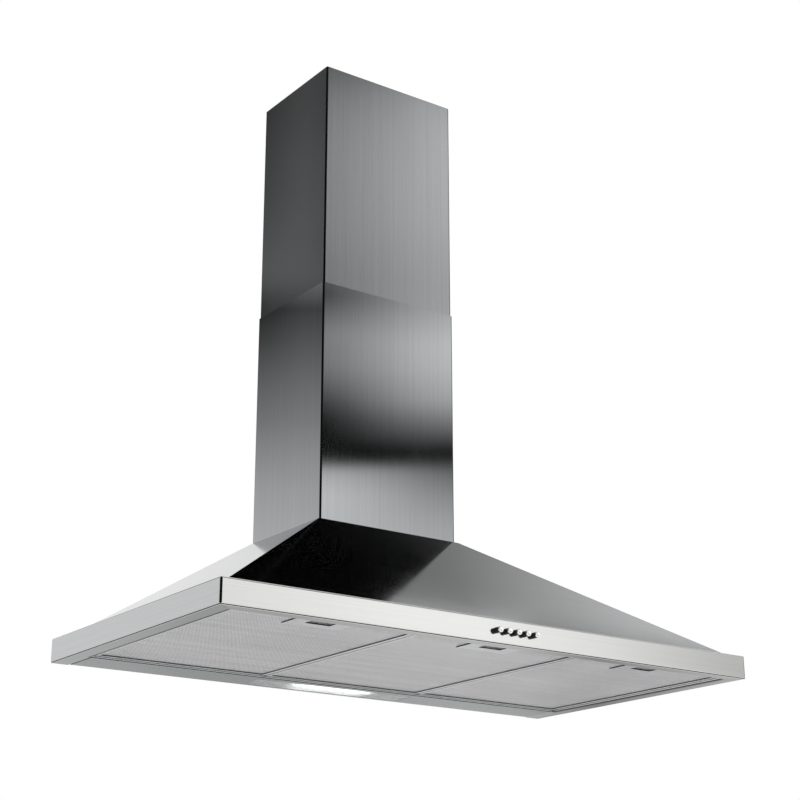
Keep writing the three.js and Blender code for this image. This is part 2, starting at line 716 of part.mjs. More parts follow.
function upperCover() {
  const foot = LOWER_COVER_TOP - COVER_OVERLAP;
  const profile = foldedSheet([
    [COVER_BACK_LIP - upperHalf, upperBack],
    [-upperHalf, upperBack],
    [-upperHalf, upperFront],
    [upperHalf, upperFront],
    [upperHalf, upperBack],
    [upperHalf - COVER_BACK_LIP, upperBack],
  ]);
  const cover = alongZ(profile, foot, HOOD_HEIGHT);
  const middle = (upperFront + upperBack) / 2;
  const slots = [];
  for (let row = 0; row < VENT_SLOT_ROWS; row += 1) {
    const z = foot + VENT_SLOT_PITCH * (row + 1.5);
    const slot = roundedRectangle(VENT_SLOT_LENGTH, VENT_SLOT_WIDTH, VENT_SLOT_ROUND, middle, z);
    slots.push(alongX(slot, -upperHalf - CUT_MARGIN, upperHalf + CUT_MARGIN, 1));
  }
  const screws = bracketScrewPlaces.map((x) => rod(
    SCREW_RADIUS + SCREW_CLEARANCE,
    [x, upperBack - SHEET - CUT_MARGIN, bracketLevel],
    [x, upperBack + CUT_MARGIN, bracketLevel],
    SCREW_SIDES,
  ));
  return without(cover, [...slots, ...screws]);
}

const bracketTop = HOOD_HEIGHT - BRACKET_DROP;
const bracketLevel = bracketTop - BRACKET_HEIGHT / 2;
const bracketScrewPlaces = [-1, 1].map((side) => side * (upperHalf - COVER_BACK_LIP / 2));
// Low heads, so that they stay in front of the wall.
const bracketScrewHead = upperInset - SEAT_GAP * 2;

// A joggled strap: its middle lies on the wall and its ends inside the upper cover.
function upperBracket() {
  const end = upperHalf - SHEET - SEAT_GAP;
  const shoulder = upperHalf - COVER_BACK_LIP - SEAT_GAP;
  const front = upperBack - SHEET - SEAT_GAP;
  const profile = foldedSheet([
    [-end, front - BRACKET_ARM],
    [-end, front],
    [-shoulder, front],
    [-shoulder + BRACKET_JOGGLE, 0],
    [shoulder - BRACKET_JOGGLE, 0],
    [shoulder, front],
    [end, front],
    [end, front - BRACKET_ARM],
  ].reverse(), BRACKET_SHEET, BRACKET_BEND);
  const strap = alongZ(profile, bracketTop - BRACKET_HEIGHT, bracketTop);
  const wallHoles = [-1, 1].map((side) => rod(
    WALL_SCREW_RADIUS,
    [side * shoulder / 2, -BRACKET_SHEET - CUT_MARGIN, bracketLevel],
    [side * shoulder / 2, CUT_MARGIN, bracketLevel],
    SCREW_SIDES,
  ));
  const earHoles = bracketScrewPlaces.map((x) => rod(
    SCREW_RADIUS + SCREW_CLEARANCE,
    [x, front - BRACKET_SHEET - CUT_MARGIN, bracketLevel],
    [x, front + CUT_MARGIN, bracketLevel],
    SCREW_SIDES,
  ));
  return without(strap, [...wallHoles, ...earHoles]);
}

// A pan-head screw. Its head stands on the origin and its shank runs along the direction.
function screw(direction, headHeight = SCREW_HEAD_HEIGHT) {
  const profile = [
    [0, -headHeight],
    [SCREW_HEAD_FLAT, -headHeight],
    [SCREW_HEAD, -headHeight / 2],
    [SCREW_HEAD, 0],
    [SCREW_RADIUS, 0],
    [SCREW_RADIUS, SCREW_LENGTH - SCREW_RADIUS],
    [0, SCREW_LENGTH],
  ];
  return turned(profile, direction, SCREW_SIDES);
}

// ---- Push buttons ----

const buttonPlaces = Array.from(
  { length: BUTTON_COUNT },
  (_, i) => BUTTON_OFFSET + (i - (BUTTON_COUNT - 1) / 2) * BUTTON_PITCH,
);
const switchFront = SHEET + SEAT_GAP - HOOD_DEPTH;
const switchBottom = FLANGE_LIP + SHEET;
const switchTop = switchBottom + SWITCH_HEIGHT;
const switchEnds = [buttonPlaces[0] - SWITCH_MARGIN, buttonPlaces[BUTTON_COUNT - 1] + SWITCH_MARGIN];
const buttonRear = switchFront + BUTTON_SKIRT;

function pushButton() {
  const head = BUTTON_REACH + SHEET + SEAT_GAP + BUTTON_SKIRT;
  const roundedEnd = Array.from({ length: ARC_STEPS }, (_, i) => {
    const turn = (quarterTurn * i) / (ARC_STEPS - 1);
    return [
      BUTTON_RADIUS - BUTTON_ROUND * (1 - Math.cos(turn)),
      head - BUTTON_ROUND * (1 - Math.sin(turn)),
    ];
  });
  const profile = [
    [0, -PLUNGER_LENGTH],
    [PLUNGER_RADIUS, -PLUNGER_LENGTH],
    [PLUNGER_RADIUS, 0],
    [BUTTON_RADIUS, 0],
    ...roundedEnd,
    [0, head],
  ];
  return turned(profile, frontAxis, SMALL_SIDES);
}

function switchBlock() {
  const [x0, x1] = switchEnds;
  const outline = roundedRectangle(
    x1 - x0,
    SWITCH_HEIGHT,
    SWITCH_CORNER,
    (x0 + x1) / 2,
    (switchBottom + switchTop) / 2,
  );
  const body = alongY(outline, switchFront, switchFront + SWITCH_DEPTH);
  const boreFrom = (radius, x, y, depth, sides) => rod(
    radius + BUTTON_CLEARANCE,
    [x, y, BUTTON_HEIGHT],
    [x, buttonRear + BUTTON_TRAVEL + CUT_MARGIN + depth, BUTTON_HEIGHT],
    sides,
  );
  const bores = buttonPlaces.flatMap((x) => [
    boreFrom(BUTTON_RADIUS, x, switchFront - CUT_MARGIN, 0, SMALL_SIDES),
    boreFrom(PLUNGER_RADIUS, x, switchFront, PLUNGER_LENGTH, SMALL_SIDES / 2),
  ]);
  return without(body, bores);
}

// ---- Grease filters, each drawn from its own front edge at y = 0 with its underside at z = 0 ----

const filterRoom = mouthHalf * 2;
const filterWidth = (filterRoom - FILTER_GAP * (FILTER_COUNT + 1)) / FILTER_COUNT;
const filterCentres = Array.from(
  { length: FILTER_COUNT },
  (_, i) => (i - (FILTER_COUNT - 1) / 2) * (filterWidth + FILTER_GAP),
);
const filterFront = mouthFront + FILTER_GAP;
const filterLength = -REAR_PLATE_DEPTH - FILTER_GAP - filterFront;
const tongueLevel = FILTER_RECESS + FILTER_THICKNESS / 2;
const latchFloor = FILTER_THICKNESS / 2;

function filterFrame() {
  const outlineInset = (inset, radius) => roundedRectangle(
    filterWidth - inset * 2,
    filterLength - inset * 2,
    radius,
    0,
    filterLength / 2,
  );
  const outer = outlineInset(0, FILTER_CORNER);
  const channel = outlineInset(FILTER_SHEET, FILTER_CORNER - FILTER_SHEET);
  const window = outlineInset(FILTER_BORDER, FILTER_SHEET);
  const tongueSlot = block(
    [-TONGUE_WIDTH / 2 - LATCH_CLEARANCE, TONGUE_WIDTH / 2 + LATCH_CLEARANCE],
    [-CUT_MARGIN, FILTER_BORDER + CUT_MARGIN],
    [latchFloor - LATCH_CLEARANCE, latchFloor + LATCH_SHEET + LATCH_CLEARANCE],
  );
  const ring = without(alongZ(outer, 0, FILTER_THICKNESS), [
    alongZ(channel, FILTER_SHEET, FILTER_THICKNESS - FILTER_SHEET),
    alongZ(window, -CUT_MARGIN, FILTER_THICKNESS + CUT_MARGIN, 1),
    tongueSlot,
  ]);
  const hooks = [-1, 1].map((side) => {
    const x = (side * HOOK_SPREAD) / 2;
    return block(
      [x - HOOK_WIDTH / 2, x + HOOK_WIDTH / 2],
      [filterLength - FILTER_BORDER, filterLength + HOOK_REACH],
      [FILTER_THICKNESS - HOOK_SHEET, FILTER_THICKNESS],
    );
  });
  return joined([ring, ...hooks]);
}

// The mesh pack, held in the frame's channel and notched round the catch: flat below, pleated on top.
function filterMesh() {
  const slack = FILTER_SHEET + SEAT_GAP;
  const half = filterWidth / 2 - slack;
  const [y0, y1] = [slack, filterLength - slack];
  const crest = FILTER_THICKNESS - slack;
  const folds = Math.round((y1 - y0) / PLEAT_PITCH) * 2;
  const pleats = Array.from({ length: folds + 1 }, (_, i) => [
    y1 - ((y1 - y0) * i) / folds,
    i % 2 ? crest : crest - PLEAT_RISE,
  ]);
  const pack = alongX([[y0, slack], [y1, slack], ...pleats], -half, half);
  const notch = block(
    [-CATCH_WIDTH / 2 - SEAT_GAP, CATCH_WIDTH / 2 + SEAT_GAP],
    [y0 - CUT_MARGIN, FILTER_BORDER + CATCH_DEPTH + SEAT_GAP * 2],
    [0, FILTER_THICKNESS],
  );
  const corners = [-1, 1].flatMap((side) => [
    alongZ([
      [side * (half + CUT_MARGIN), y0 - CUT_MARGIN],
      [side * (half - FILTER_CORNER), y0 - CUT_MARGIN],
      [side * (half + CUT_MARGIN), y0 + FILTER_CORNER],
    ], 0, FILTER_THICKNESS),
    alongZ([
      [side * (half + CUT_MARGIN), y1 + CUT_MARGIN],
      [side * (half - FILTER_CORNER), y1 + CUT_MARGIN],
      [side * (half + CUT_MARGIN), y1 - FILTER_CORNER],
    ], 0, FILTER_THICKNESS),
  ]);
  return without(pack, [notch, ...corners]);
}

// The smooth catch plate with its finger recess and the pocket that the latch slides in.
function filterCatch() {
  const front = FILTER_BORDER + SEAT_GAP;
  const rear = FILTER_BORDER + CATCH_DEPTH;
  const half = CATCH_WIDTH / 2;
  const pocketHalf = LATCH_WIDTH / 2 + LATCH_CLEARANCE;
  const plate = block([-half, half], [front, rear], [0, CATCH_PLATE]);
  const boxHalf = Math.max(pocketHalf, FINGER_WIDTH / 2) + CATCH_WALL;
  const boxTop = FILTER_THICKNESS - SEAT_GAP;
  const pocket = block([-boxHalf, boxHalf], [front, rear - CATCH_WALL], [0, boxTop]);
  const finger = block(
    [-FINGER_WIDTH / 2, FINGER_WIDTH / 2],
    [front + CATCH_WALL, front + CATCH_WALL + FINGER_DEPTH],
    [-CUT_MARGIN, latchFloor],
  );
  const slideRoom = block(
    [-pocketHalf, pocketHalf],
    [front + CATCH_WALL, rear - CATCH_WALL * 2],
    [latchFloor - LATCH_CLEARANCE, latchFloor + LATCH_SHEET + LATCH_CLEARANCE],
  );
  const tongueRoom = block(
    [-TONGUE_WIDTH / 2 - LATCH_CLEARANCE, TONGUE_WIDTH / 2 + LATCH_CLEARANCE],
    [front - CUT_MARGIN, front + CATCH_WALL + CUT_MARGIN],
    [latchFloor - LATCH_CLEARANCE, latchFloor + LATCH_SHEET + LATCH_CLEARANCE],
  );
  return without(plate.add(pocket), [finger, slideRoom, tongueRoom]);
}

// The sprung latch: tongue, slide and the finger tab that hangs in the recess.
function filterLatch() {
  const front = FILTER_BORDER + SEAT_GAP + CATCH_WALL + LATCH_CLEARANCE;
  const rear = FILTER_BORDER + CATCH_DEPTH - CATCH_WALL * 2 - LATCH_TRAVEL - LATCH_CLEARANCE;
  const tip = TONGUE_CLEARANCE - FILTER_GAP;
  const half = LATCH_WIDTH / 2;
  const tongueHalf = TONGUE_WIDTH / 2;
  const outline = [
    [-tongueHalf, tip], [tongueHalf, tip], [tongueHalf, front], [half, front],
    [half, rear], [-half, rear], [-half, front], [-tongueHalf, front],
  ];
  const slide = alongZ(outline, latchFloor, latchFloor + LATCH_SHEET);
  const tab = block(
    [-half, half],
    [front + SHEET, front + SHEET + LATCH_SHEET],
    [CATCH_PLATE / 2, latchFloor + LATCH_SHEET / 2],
  );
  return slide.add(tab);
}

// ---- Blower, drawn round its own axis ----

const wheelHalf = WHEEL_WIDTH / 2;
const blowerHalf = BLOWER_WIDTH / 2;
const scrollStartRadius = WHEEL_RADIUS + WHEEL_CLEARANCE;
const scrollEndRadius = scrollStartRadius + SCROLL_GROWTH;
const outletRear = scrollStartRadius * Math.sin(THREE.MathUtils.degToRad(SCROLL_START));

// The scroll's outline in (y, z): a spiral from the tongue round the back and bottom, then up to the outlet.
function scrollOutline(grow, top) {
  const steps = ROUND_SIDES;
  const points = [];
  for (let i = 0; i <= steps; i += 1) {
    const turn = THREE.MathUtils.degToRad(THREE.MathUtils.lerp(SCROLL_START, SCROLL_END, i / steps));
    const radius = THREE.MathUtils.lerp(scrollStartRadius, scrollEndRadius, i / steps) + grow;
    points.push([radius * Math.sin(turn), radius * Math.cos(turn)]);
  }
  points.push([-scrollEndRadius - grow, top], [outletRear + grow, top]);
  return points;
}

function blowerHousing(side) {
  const ends = [side * SEAT_GAP / 2, side * blowerHalf].sort((a, b) => a - b);
  const room = [side * -CUT_MARGIN, side * (blowerHalf - BLOWER_WALL)].sort((a, b) => a - b);
  const shell = alongX(scrollOutline(BLOWER_WALL, OUTLET_RISE), ...ends);
  const inside = alongX(scrollOutline(0, OUTLET_RISE + CUT_MARGIN), ...room);
  const inlet = rod(INLET_RADIUS, [0, 0, 0], [side * (blowerHalf + CUT_MARGIN), 0, 0], ROUND_SIDES);
  const lipEnds = [side * (blowerHalf - INLET_LIP), side * blowerHalf];
  const lip = tube(INLET_RADIUS + BLOWER_WALL, INLET_RADIUS, [lipEnds[0], 0, 0], [lipEnds[1], 0, 0]);
  const flangeReach = OUTLET_FLANGE + BLOWER_WALL;
  const flange = block(
    [side * SEAT_GAP / 2, side * (blowerHalf + OUTLET_FLANGE)].sort((a, b) => a - b),
    [-scrollEndRadius - flangeReach, outletRear + flangeReach],
    [OUTLET_RISE - BLOWER_WALL, OUTLET_RISE],
  );
  const bosses = BOSS_ANGLES.map((degrees) => {
    const turn = THREE.MathUtils.degToRad(degrees);
    const share = (degrees - SCROLL_START) / (SCROLL_END - SCROLL_START);
    const reach = scrollStartRadius + SCROLL_GROWTH * share + BOSS_RADIUS;
    const [y, z] = [reach * Math.sin(turn), reach * Math.cos(turn)];
    return {
      boss: rod(BOSS_RADIUS, [side * SEAT_GAP / 2, y, z], [side * BOSS_LENGTH, y, z], SCREW_SIDES),
      pilot: rod(PILOT_RADIUS, [-side * CUT_MARGIN, y, z], [side * PILOT_DEPTH, y, z], SCREW_SIDES),
    };
  });
  const whole = joined([shell, flange, ...bosses.map(({ boss }) => boss)]);
  return without(whole, [inside, inlet, ...bosses.map(({ pilot }) => pilot)]).add(lip);
}

function blade(turn) {
  const [inner, outer] = [WHEEL_BORE, WHEEL_RADIUS - WHEEL_RING / 2];
  const edge = (shift) => Array.from({ length: BLADE_STEPS + 1 }, (_, i) => {
    const radius = THREE.MathUtils.lerp(inner, outer, i / BLADE_STEPS);
    const lean = THREE.MathUtils.degToRad(BLADE_SWEEP) * (i / BLADE_STEPS) ** 2;
    const angle = turn + lean + shift / radius;
    return [radius * Math.cos(angle), radius * Math.sin(angle)];
  });
  const outline = [...edge(-BLADE_THICKNESS / 2), ...edge(BLADE_THICKNESS / 2).reverse()];
  return alongX(outline, -wheelHalf + WHEEL_RING / 2, wheelHalf - WHEEL_RING / 2);
}

function impeller() {
  const blades = Array.from({ length: BLADE_COUNT }, (_, i) => blade((i / BLADE_COUNT) * Math.PI * 2));
  const rings = [-1, 1].map((side) => tube(
    WHEEL_RADIUS,
    WHEEL_BORE + WHEEL_RING,
    [side * (wheelHalf - WHEEL_RING), 0, 0],
    [side * wheelHalf, 0, 0],
  ));
  const half = WHEEL_RING / 2;
  const web = rod(WHEEL_RADIUS - half, [-half, 0, 0], [half, 0, 0], ROUND_SIDES);
  const [hubStart, hubEnd] = [-HUB_LENGTH, WHEEL_RING];
  const hub = rod(HUB_RADIUS, [hubStart, 0, 0], [hubEnd, 0, 0]);
  const bore = rod(SHAFT_RADIUS + SEAT_GAP, [hubStart - CUT_MARGIN, 0, 0], [hubEnd + CUT_MARGIN, 0, 0]);
  return joined([web, hub, ...rings, ...blades]).subtract(bore);
}

const shaftEnd = MOTOR_START + SHAFT_INSERT;
const spiderStart = blowerHalf + SEAT_GAP;
const spiderEnd = spiderStart + SPIDER_THICKNESS;

function motorShaft() {
  return rod(SHAFT_RADIUS, [-HUB_LENGTH - SHAFT_STICKOUT, 0, 0], [shaftEnd, 0, 0]);
}

// The motor's rear bell passes through the spider's collar and its barrel stops against it.
function motorBody() {
  const end = spiderEnd + MOTOR_TAIL;
  const profile = [
    [0, MOTOR_START],
    [MOTOR_NOSE, MOTOR_START],
    [MOTOR_WAIST, MOTOR_START + MOTOR_ROUND],
    [MOTOR_WAIST, MOTOR_START + MOTOR_BELL],
    [MOTOR_RADIUS, MOTOR_START + MOTOR_BELL],
    [MOTOR_RADIUS, spiderStart - SEAT_GAP],
    [MOTOR_WAIST, spiderStart - SEAT_GAP],
    [MOTOR_WAIST, end - MOTOR_ROUND],
    [MOTOR_NOSE, end],
    [0, end],
  ];
  const bore = rod(SHAFT_RADIUS + SEAT_GAP, [MOTOR_START - CUT_MARGIN, 0, 0], [shaftEnd + SEAT_GAP, 0, 0]);
  return turned(profile, xAxis, MOTOR_SIDES).subtract(bore);
}

// Arms from the inlet's rim to a collar round the motor's rear bell.
function motorSpider() {
  const neck = MOTOR_WAIST + SEAT_GAP;
  const overlap = SHEET;
  const collar = tube(MOTOR_RADIUS, neck, [spiderStart, 0, 0], [spiderEnd, 0, 0], MOTOR_SIDES);
  const ring = tube(INLET_RADIUS + SPIDER_RING, INLET_RADIUS, [spiderStart, 0, 0], [spiderEnd, 0, 0]);
  const arms = Array.from({ length: SPIDER_ARMS }, (_, i) => {
    const reach = INLET_RADIUS - MOTOR_RADIUS + overlap * 2;
    const arm = new THREE.BoxGeometry(SPIDER_THICKNESS, SPIDER_ARM, reach);
    arm.translate((spiderStart + spiderEnd) / 2, 0, (INLET_RADIUS + MOTOR_RADIUS) / 2);
    return toSolid(arm.rotateX((i / SPIDER_ARMS) * Math.PI * 2));
  });
  return joined([collar, ring, ...arms]);
}

// A point on a rectangle or a circle for the same share of a turn, so that a loft joins the two.
function outletRing(z, share, centreY, halfX, halfY) {
  const perSide = Math.round(ROUND_SIDES / 4);
  const points = [];
  for (let side = 0; side < 4; side += 1) {
    for (let k = 0; k < perSide; k += 1) {
      const along = (k / perSide) * 2 - 1;
      const turn = (side - 0.5 + k / perSide) * quarterTurn;
      const square = new THREE.Vector2(1, along).rotateAround(new THREE.Vector2(), side * quarterTurn);
      const round = new THREE.Vector2(Math.cos(turn), Math.sin(turn));
      const mixed = square.lerp(round, share);
      points.push(new THREE.Vector3(mixed.x * halfX, mixed.y * halfY + centreY, z));
    }
  }
  return points;
}

// The neck turns the scroll's rectangular outlet into the round one under the deck.
function outletNeck() {
  const foot = BLOWER_Z + OUTLET_RISE + SEAT_GAP;
  const top = CANOPY_HEIGHT - SHEET - SEAT_GAP;
  const rearEdge = BLOWER_Y + outletRear;
  const frontEdge = BLOWER_Y - scrollEndRadius;
  const mouthY = (rearEdge + frontEdge) / 2;
  const [halfX, halfY] = [blowerHalf - BLOWER_WALL, (rearEdge - frontEdge) / 2];
  const bore = DUCT_RADIUS - DUCT_WALL;
  const skin = (grow, z0, z1) => lofted([
    outletRing(z0, 0, mouthY, halfX + grow, halfY + grow),
    outletRing(foot + BLOWER_WALL, 0, mouthY, halfX + grow, halfY + grow),
    outletRing(top - BLOWER_WALL, 1, DUCT_Y, bore + grow - SEAT_GAP, bore + grow - SEAT_GAP),
    outletRing(z1, 1, DUCT_Y, bore + grow - SEAT_GAP, bore + grow - SEAT_GAP),
  ]);
  const flangeX = halfX + BLOWER_WALL + OUTLET_FLANGE;
  const flangeY = halfY + BLOWER_WALL + OUTLET_FLANGE;
  const lowFlange = block(
    [-flangeX, flangeX],
    [mouthY - flangeY, mouthY + flangeY],
    [foot, foot + BLOWER_WALL],
  );
  const topReach = DUCT_RADIUS + COLLAR_FLANGE;
  const topFlange = block(
    [-topReach, topReach],
    [DUCT_Y - topReach, DUCT_Y + topReach],
    [top - BLOWER_WALL, top],
  );
  const holes = neckScrewPlaces.map(([x, y]) => screwHole(x, y, top - BLOWER_WALL, top));
  return without(joined([skin(BLOWER_WALL, foot, top), lowFlange, topFlange]), [
    skin(0, foot - CUT_MARGIN, top + CUT_MARGIN),
    ...holes,
  ]);
}

// ---- Duct collar and back-draught flaps, drawn round the duct's axis from the deck up ----

const collarFoot = SEAT_GAP;
const flapRadius = DUCT_RADIUS - DUCT_WALL - FLAP_CLEARANCE;

function ductCollar() {
  const bore = DUCT_RADIUS - DUCT_WALL;
  const reach = DUCT_RADIUS + COLLAR_FLANGE;
  const spigot = rod(DUCT_RADIUS, [0, 0, collarFoot], [0, 0, COLLAR_HEIGHT], ROUND_SIDES);
  const outline = roundedRectangle(reach * 2, reach * 2, COLLAR_FLANGE);
  const plate = alongZ(outline, collarFoot, collarFoot + DUCT_WALL);
  const way = rod(bore, [0, 0, 0], [0, 0, COLLAR_HEIGHT + CUT_MARGIN], ROUND_SIDES);
  const pinHole = rod(FLAP_PIN_RADIUS + SEAT_GAP, [-reach, 0, FLAP_LEVEL], [reach, 0, FLAP_LEVEL]);
  const holes = neckScrewPlaces.map(([x, y]) => screwHole(x, y - DUCT_Y, collarFoot, collarFoot + DUCT_WALL));
  return without(spigot.add(plate), [way, pinHole, ...holes]);
}

function flapPin() {
  const end = DUCT_RADIUS - DUCT_WALL / 4;
  return rod(FLAP_PIN_RADIUS, [-end, 0, FLAP_LEVEL], [end, 0, FLAP_LEVEL]);
}

// A half disc with knuckles on every second stretch of the pin. Its hinge is its own origin.
function flap(side) {
  const chord = KNUCKLE_RADIUS + KNUCKLE_CLEARANCE;
  const arc = new THREE.Shape();
  const reach = Math.acos(chord / flapRadius);
  arc.absarc(0, 0, flapRadius, side * quarterTurn - reach, side * quarterTurn + reach, false);
  const disc = toSolid(new THREE.ExtrudeGeometry(arc, {
    depth: FLAP_THICKNESS,
    bevelEnabled: false,
    curveSegments: ROUND_SIDES / 2,
  }).translate(0, 0, -FLAP_THICKNESS / 2));
  const span = (flapRadius - KNUCKLE_INSET) * 2;
  const pitch = span / KNUCKLE_COUNT;
  const knuckles = [];
  for (let i = side > 0 ? 0 : 1; i < KNUCKLE_COUNT; i += 2) {
    const x0 = -span / 2 + pitch * i + KNUCKLE_CLEARANCE;
    const x1 = x0 + pitch - KNUCKLE_CLEARANCE * 2;
    const leafEnds = [0, side * (chord + CUT_MARGIN)].sort((a, b) => a - b);
    const leaf = block([x0, x1], leafEnds, [-FLAP_THICKNESS / 2, FLAP_THICKNESS / 2]);
    knuckles.push(rod(KNUCKLE_RADIUS, [x0, 0, 0], [x1, 0, 0]).add(leaf));
  }
  const pinRoom = rod(FLAP_PIN_RADIUS + KNUCKLE_CLEARANCE, [-DUCT_RADIUS, 0, 0], [DUCT_RADIUS, 0, 0]);
  return joined([disc, ...knuckles]).subtract(pinRoom);
}

// ---- Electrical parts on the back panel ----

function controlBoxPieces() {
  const back = -SHEET - SEAT_GAP;
  const half = CONTROL_BOX_WIDTH / 2;
  const outline = roundedRectangle(
    CONTROL_BOX_WIDTH,
    CONTROL_BOX_HEIGHT,
    CONTROL_BOX_CORNER,
    CONTROL_BOX_X,
    CONTROL_BOX_Z + CONTROL_BOX_HEIGHT / 2,
  );
  const lidLine = back - CONTROL_BOX_DEPTH;
  const tray = alongY(outline, lidLine + SEAT_GAP, back);
  const room = block(
    [CONTROL_BOX_X - half + CONTROL_BOX_WALL, CONTROL_BOX_X + half - CONTROL_BOX_WALL],
    [lidLine, back - CONTROL_BOX_WALL],
    [CONTROL_BOX_Z + CONTROL_BOX_WALL, CONTROL_BOX_Z + CONTROL_BOX_HEIGHT - CONTROL_BOX_WALL],
  );
  const lid = alongY(outline, lidLine - CONTROL_BOX_WALL, lidLine);
  return [
    part('control_box', tray.subtract(room), finishes.greyPlastic),
    part('control_box_lid', lid, finishes.greyPlastic),
  ];
}

function capacitorPieces() {
  const back = -SHEET - SEAT_GAP;
  const bore = CAPACITOR_RADIUS + SEAT_GAP;
  const y = back - CLIP_SHEET - bore;
  const waist = CAPACITOR_RADIUS - CAPACITOR_EDGE;
  const can = turned([
    [0, 0],
    [waist, 0],
    [CAPACITOR_RADIUS, CAPACITOR_EDGE],
    [CAPACITOR_RADIUS, CAPACITOR_LENGTH - CAPACITOR_EDGE * 2],
    [waist, CAPACITOR_LENGTH - CAPACITOR_EDGE],
    [waist, CAPACITOR_LENGTH],
    [0, CAPACITOR_LENGTH],
  ], xAxis).translate([CAPACITOR_X - CAPACITOR_LENGTH / 2, y, CAPACITOR_Z]);
  const [x0, x1] = [CAPACITOR_X - CLIP_WIDTH / 2, CAPACITOR_X + CLIP_WIDTH / 2];
  const ring = tube(bore + CLIP_SHEET, bore, [x0, y, CAPACITOR_Z], [x1, y, CAPACITOR_Z]);
  const foot = block(
    [x0, x1],
    [back - CLIP_SHEET, back],
    [CAPACITOR_Z - CAPACITOR_RADIUS, CAPACITOR_Z + CAPACITOR_RADIUS],
  );
  return [
    part('capacitor', can, finishes.whitePlastic),
    part('capacitor_clip', ring.add(foot), finishes.galvanised),
  ];
}

// The gland through the deck that the mains cable leaves by.
function cableGland() {
  const under = -SHEET - GLAND_THREAD;
  const neck = GLAND_RADIUS - GLAND_SHOULDER - SEAT_GAP;
  const cap = GLAND_RADIUS - GLAND_TAPER;
  return turned([
    [GLAND_BORE, under],
    [neck, under],
    [neck, SEAT_GAP],
    [GLAND_RADIUS, SEAT_GAP],
    [GLAND_RADIUS, GLAND_NUT],
    [cap, GLAND_NUT + GLAND_TAPER],
    [cap, GLAND_HEIGHT - GLAND_TAPER],
    [cap - GLAND_TAPER, GLAND_HEIGHT],
    [GLAND_BORE, GLAND_HEIGHT],
    [GLAND_BORE, under],
  ], zAxis, SMALL_SIDES).translate([GLAND_X, GLAND_Y, CANOPY_HEIGHT]);
}

// ---- Assembly ----

function placed(mesh, x, y, z) {
  mesh.position.set(x, y, z);
  return mesh;
}

function buildHood() {
  const hood = new THREE.Group();
  hood.add(
    part('canopy_shell', canopyShell(), finishes.brushedSteel),
    part('front_panel', frontPanel(), finishes.glossSteel),
    part('rear_plate', rearPlate(), finishes.flangeSteel),
    part('back_panel', backPanel(), finishes.galvanised),
    ...lampPieces(),
    part('lower_cover', lowerCover(), finishes.brushedSteel),
    part('upper_cover', upperCover(), finishes.brushedSteel),
    part('upper_bracket', upperBracket(), finishes.galvanised),
    part('switch_block', switchBlock(), finishes.blackPlastic),
    ...controlBoxPieces(),
    ...capacitorPieces(),
    part('cable_gland', cableGland(), finishes.blackPlastic),
    part('outlet_neck', outletNeck(), finishes.greyPlastic),
  );
  bracketScrewPlaces.forEach((x, i) => {
    const mesh = part(`bracket_screw_${i + 1}`, screw(frontAxis, bracketScrewHead), finishes.zinc);
    hood.add(placed(mesh, x, upperBack + SEAT_GAP, bracketLevel));
  });
  neckScrewPlaces.forEach(([x, y], i) => {
    const level = CANOPY_HEIGHT + collarFoot + DUCT_WALL + SEAT_GAP;
    hood.add(placed(part(`duct_screw_${i + 1}`, screw(downAxis), finishes.zinc), x, y, level));
  });
  footScrewPlaces.forEach(([x, y], i) => {
    const level = CANOPY_HEIGHT - SHEET - SEAT_GAP;
    hood.add(placed(part(`foot_screw_${i + 1}`, screw(zAxis), finishes.zinc), x, y, level));
  });
  buttonPlaces.forEach((x, i) => {
    hood.add(placed(part(`button_${i + 1}`, pushButton(), finishes.chrome), x, buttonRear, BUTTON_HEIGHT));
  });
  filterCentres.forEach((x, i) => {
    const filter = new THREE.Group();
    filter.position.set(x, filterFront, FILTER_RECESS);
    filter.add(
      part(`filter_frame_${i + 1}`, filterFrame(), finishes.filterFrame),
      part(`filter_mesh_${i + 1}`, filterMesh(), finishes.filterMesh),
      part(`filter_catch_${i + 1}`, filterCatch(), finishes.filterFrame),
      part(`filter_latch_${i + 1}`, filterLatch(), finishes.filterFrame),
    );
    hood.add(filter);
  });

  const blower = new THREE.Group();
  blower.position.set(0, BLOWER_Y, BLOWER_Z);
  blower.add(
    part('blower_housing_left', blowerHousing(-1), finishes.greyPlastic),
    part('blower_housing_right', blowerHousing(1), finishes.greyPlastic),
    part('impeller', impeller(), finishes.blackPlastic),
    part('motor_shaft', motorShaft(), finishes.zinc),
    part('motor_body', motorBody(), finishes.motor),
    part('motor_spider', motorSpider(), finishes.galvanised),
  );
  hood.add(blower);

  const collar = new THREE.Group();
  collar.position.set(0, DUCT_Y, CANOPY_HEIGHT);
  collar.add(
    part('duct_collar', ductCollar(), finishes.blackPlastic),
    part('flap_pin', flapPin(), finishes.zinc),
    placed(part('flap_rear', flap(1), finishes.blackPlastic), 0, 0, FLAP_LEVEL),
    placed(part('flap_front', flap(-1), finishes.blackPlastic), 0, 0, FLAP_LEVEL),
  );
  hood.add(collar);
  return hood;
}

// The origin is under the middle of the whole hood, buttons included.
const rangeHood = new THREE.Group();
const hood = buildHood();
hood.position.y = (HOOD_DEPTH + BUTTON_REACH) / 2;
rangeHood.add(hood);

export default rangeHood;
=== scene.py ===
import json
import math

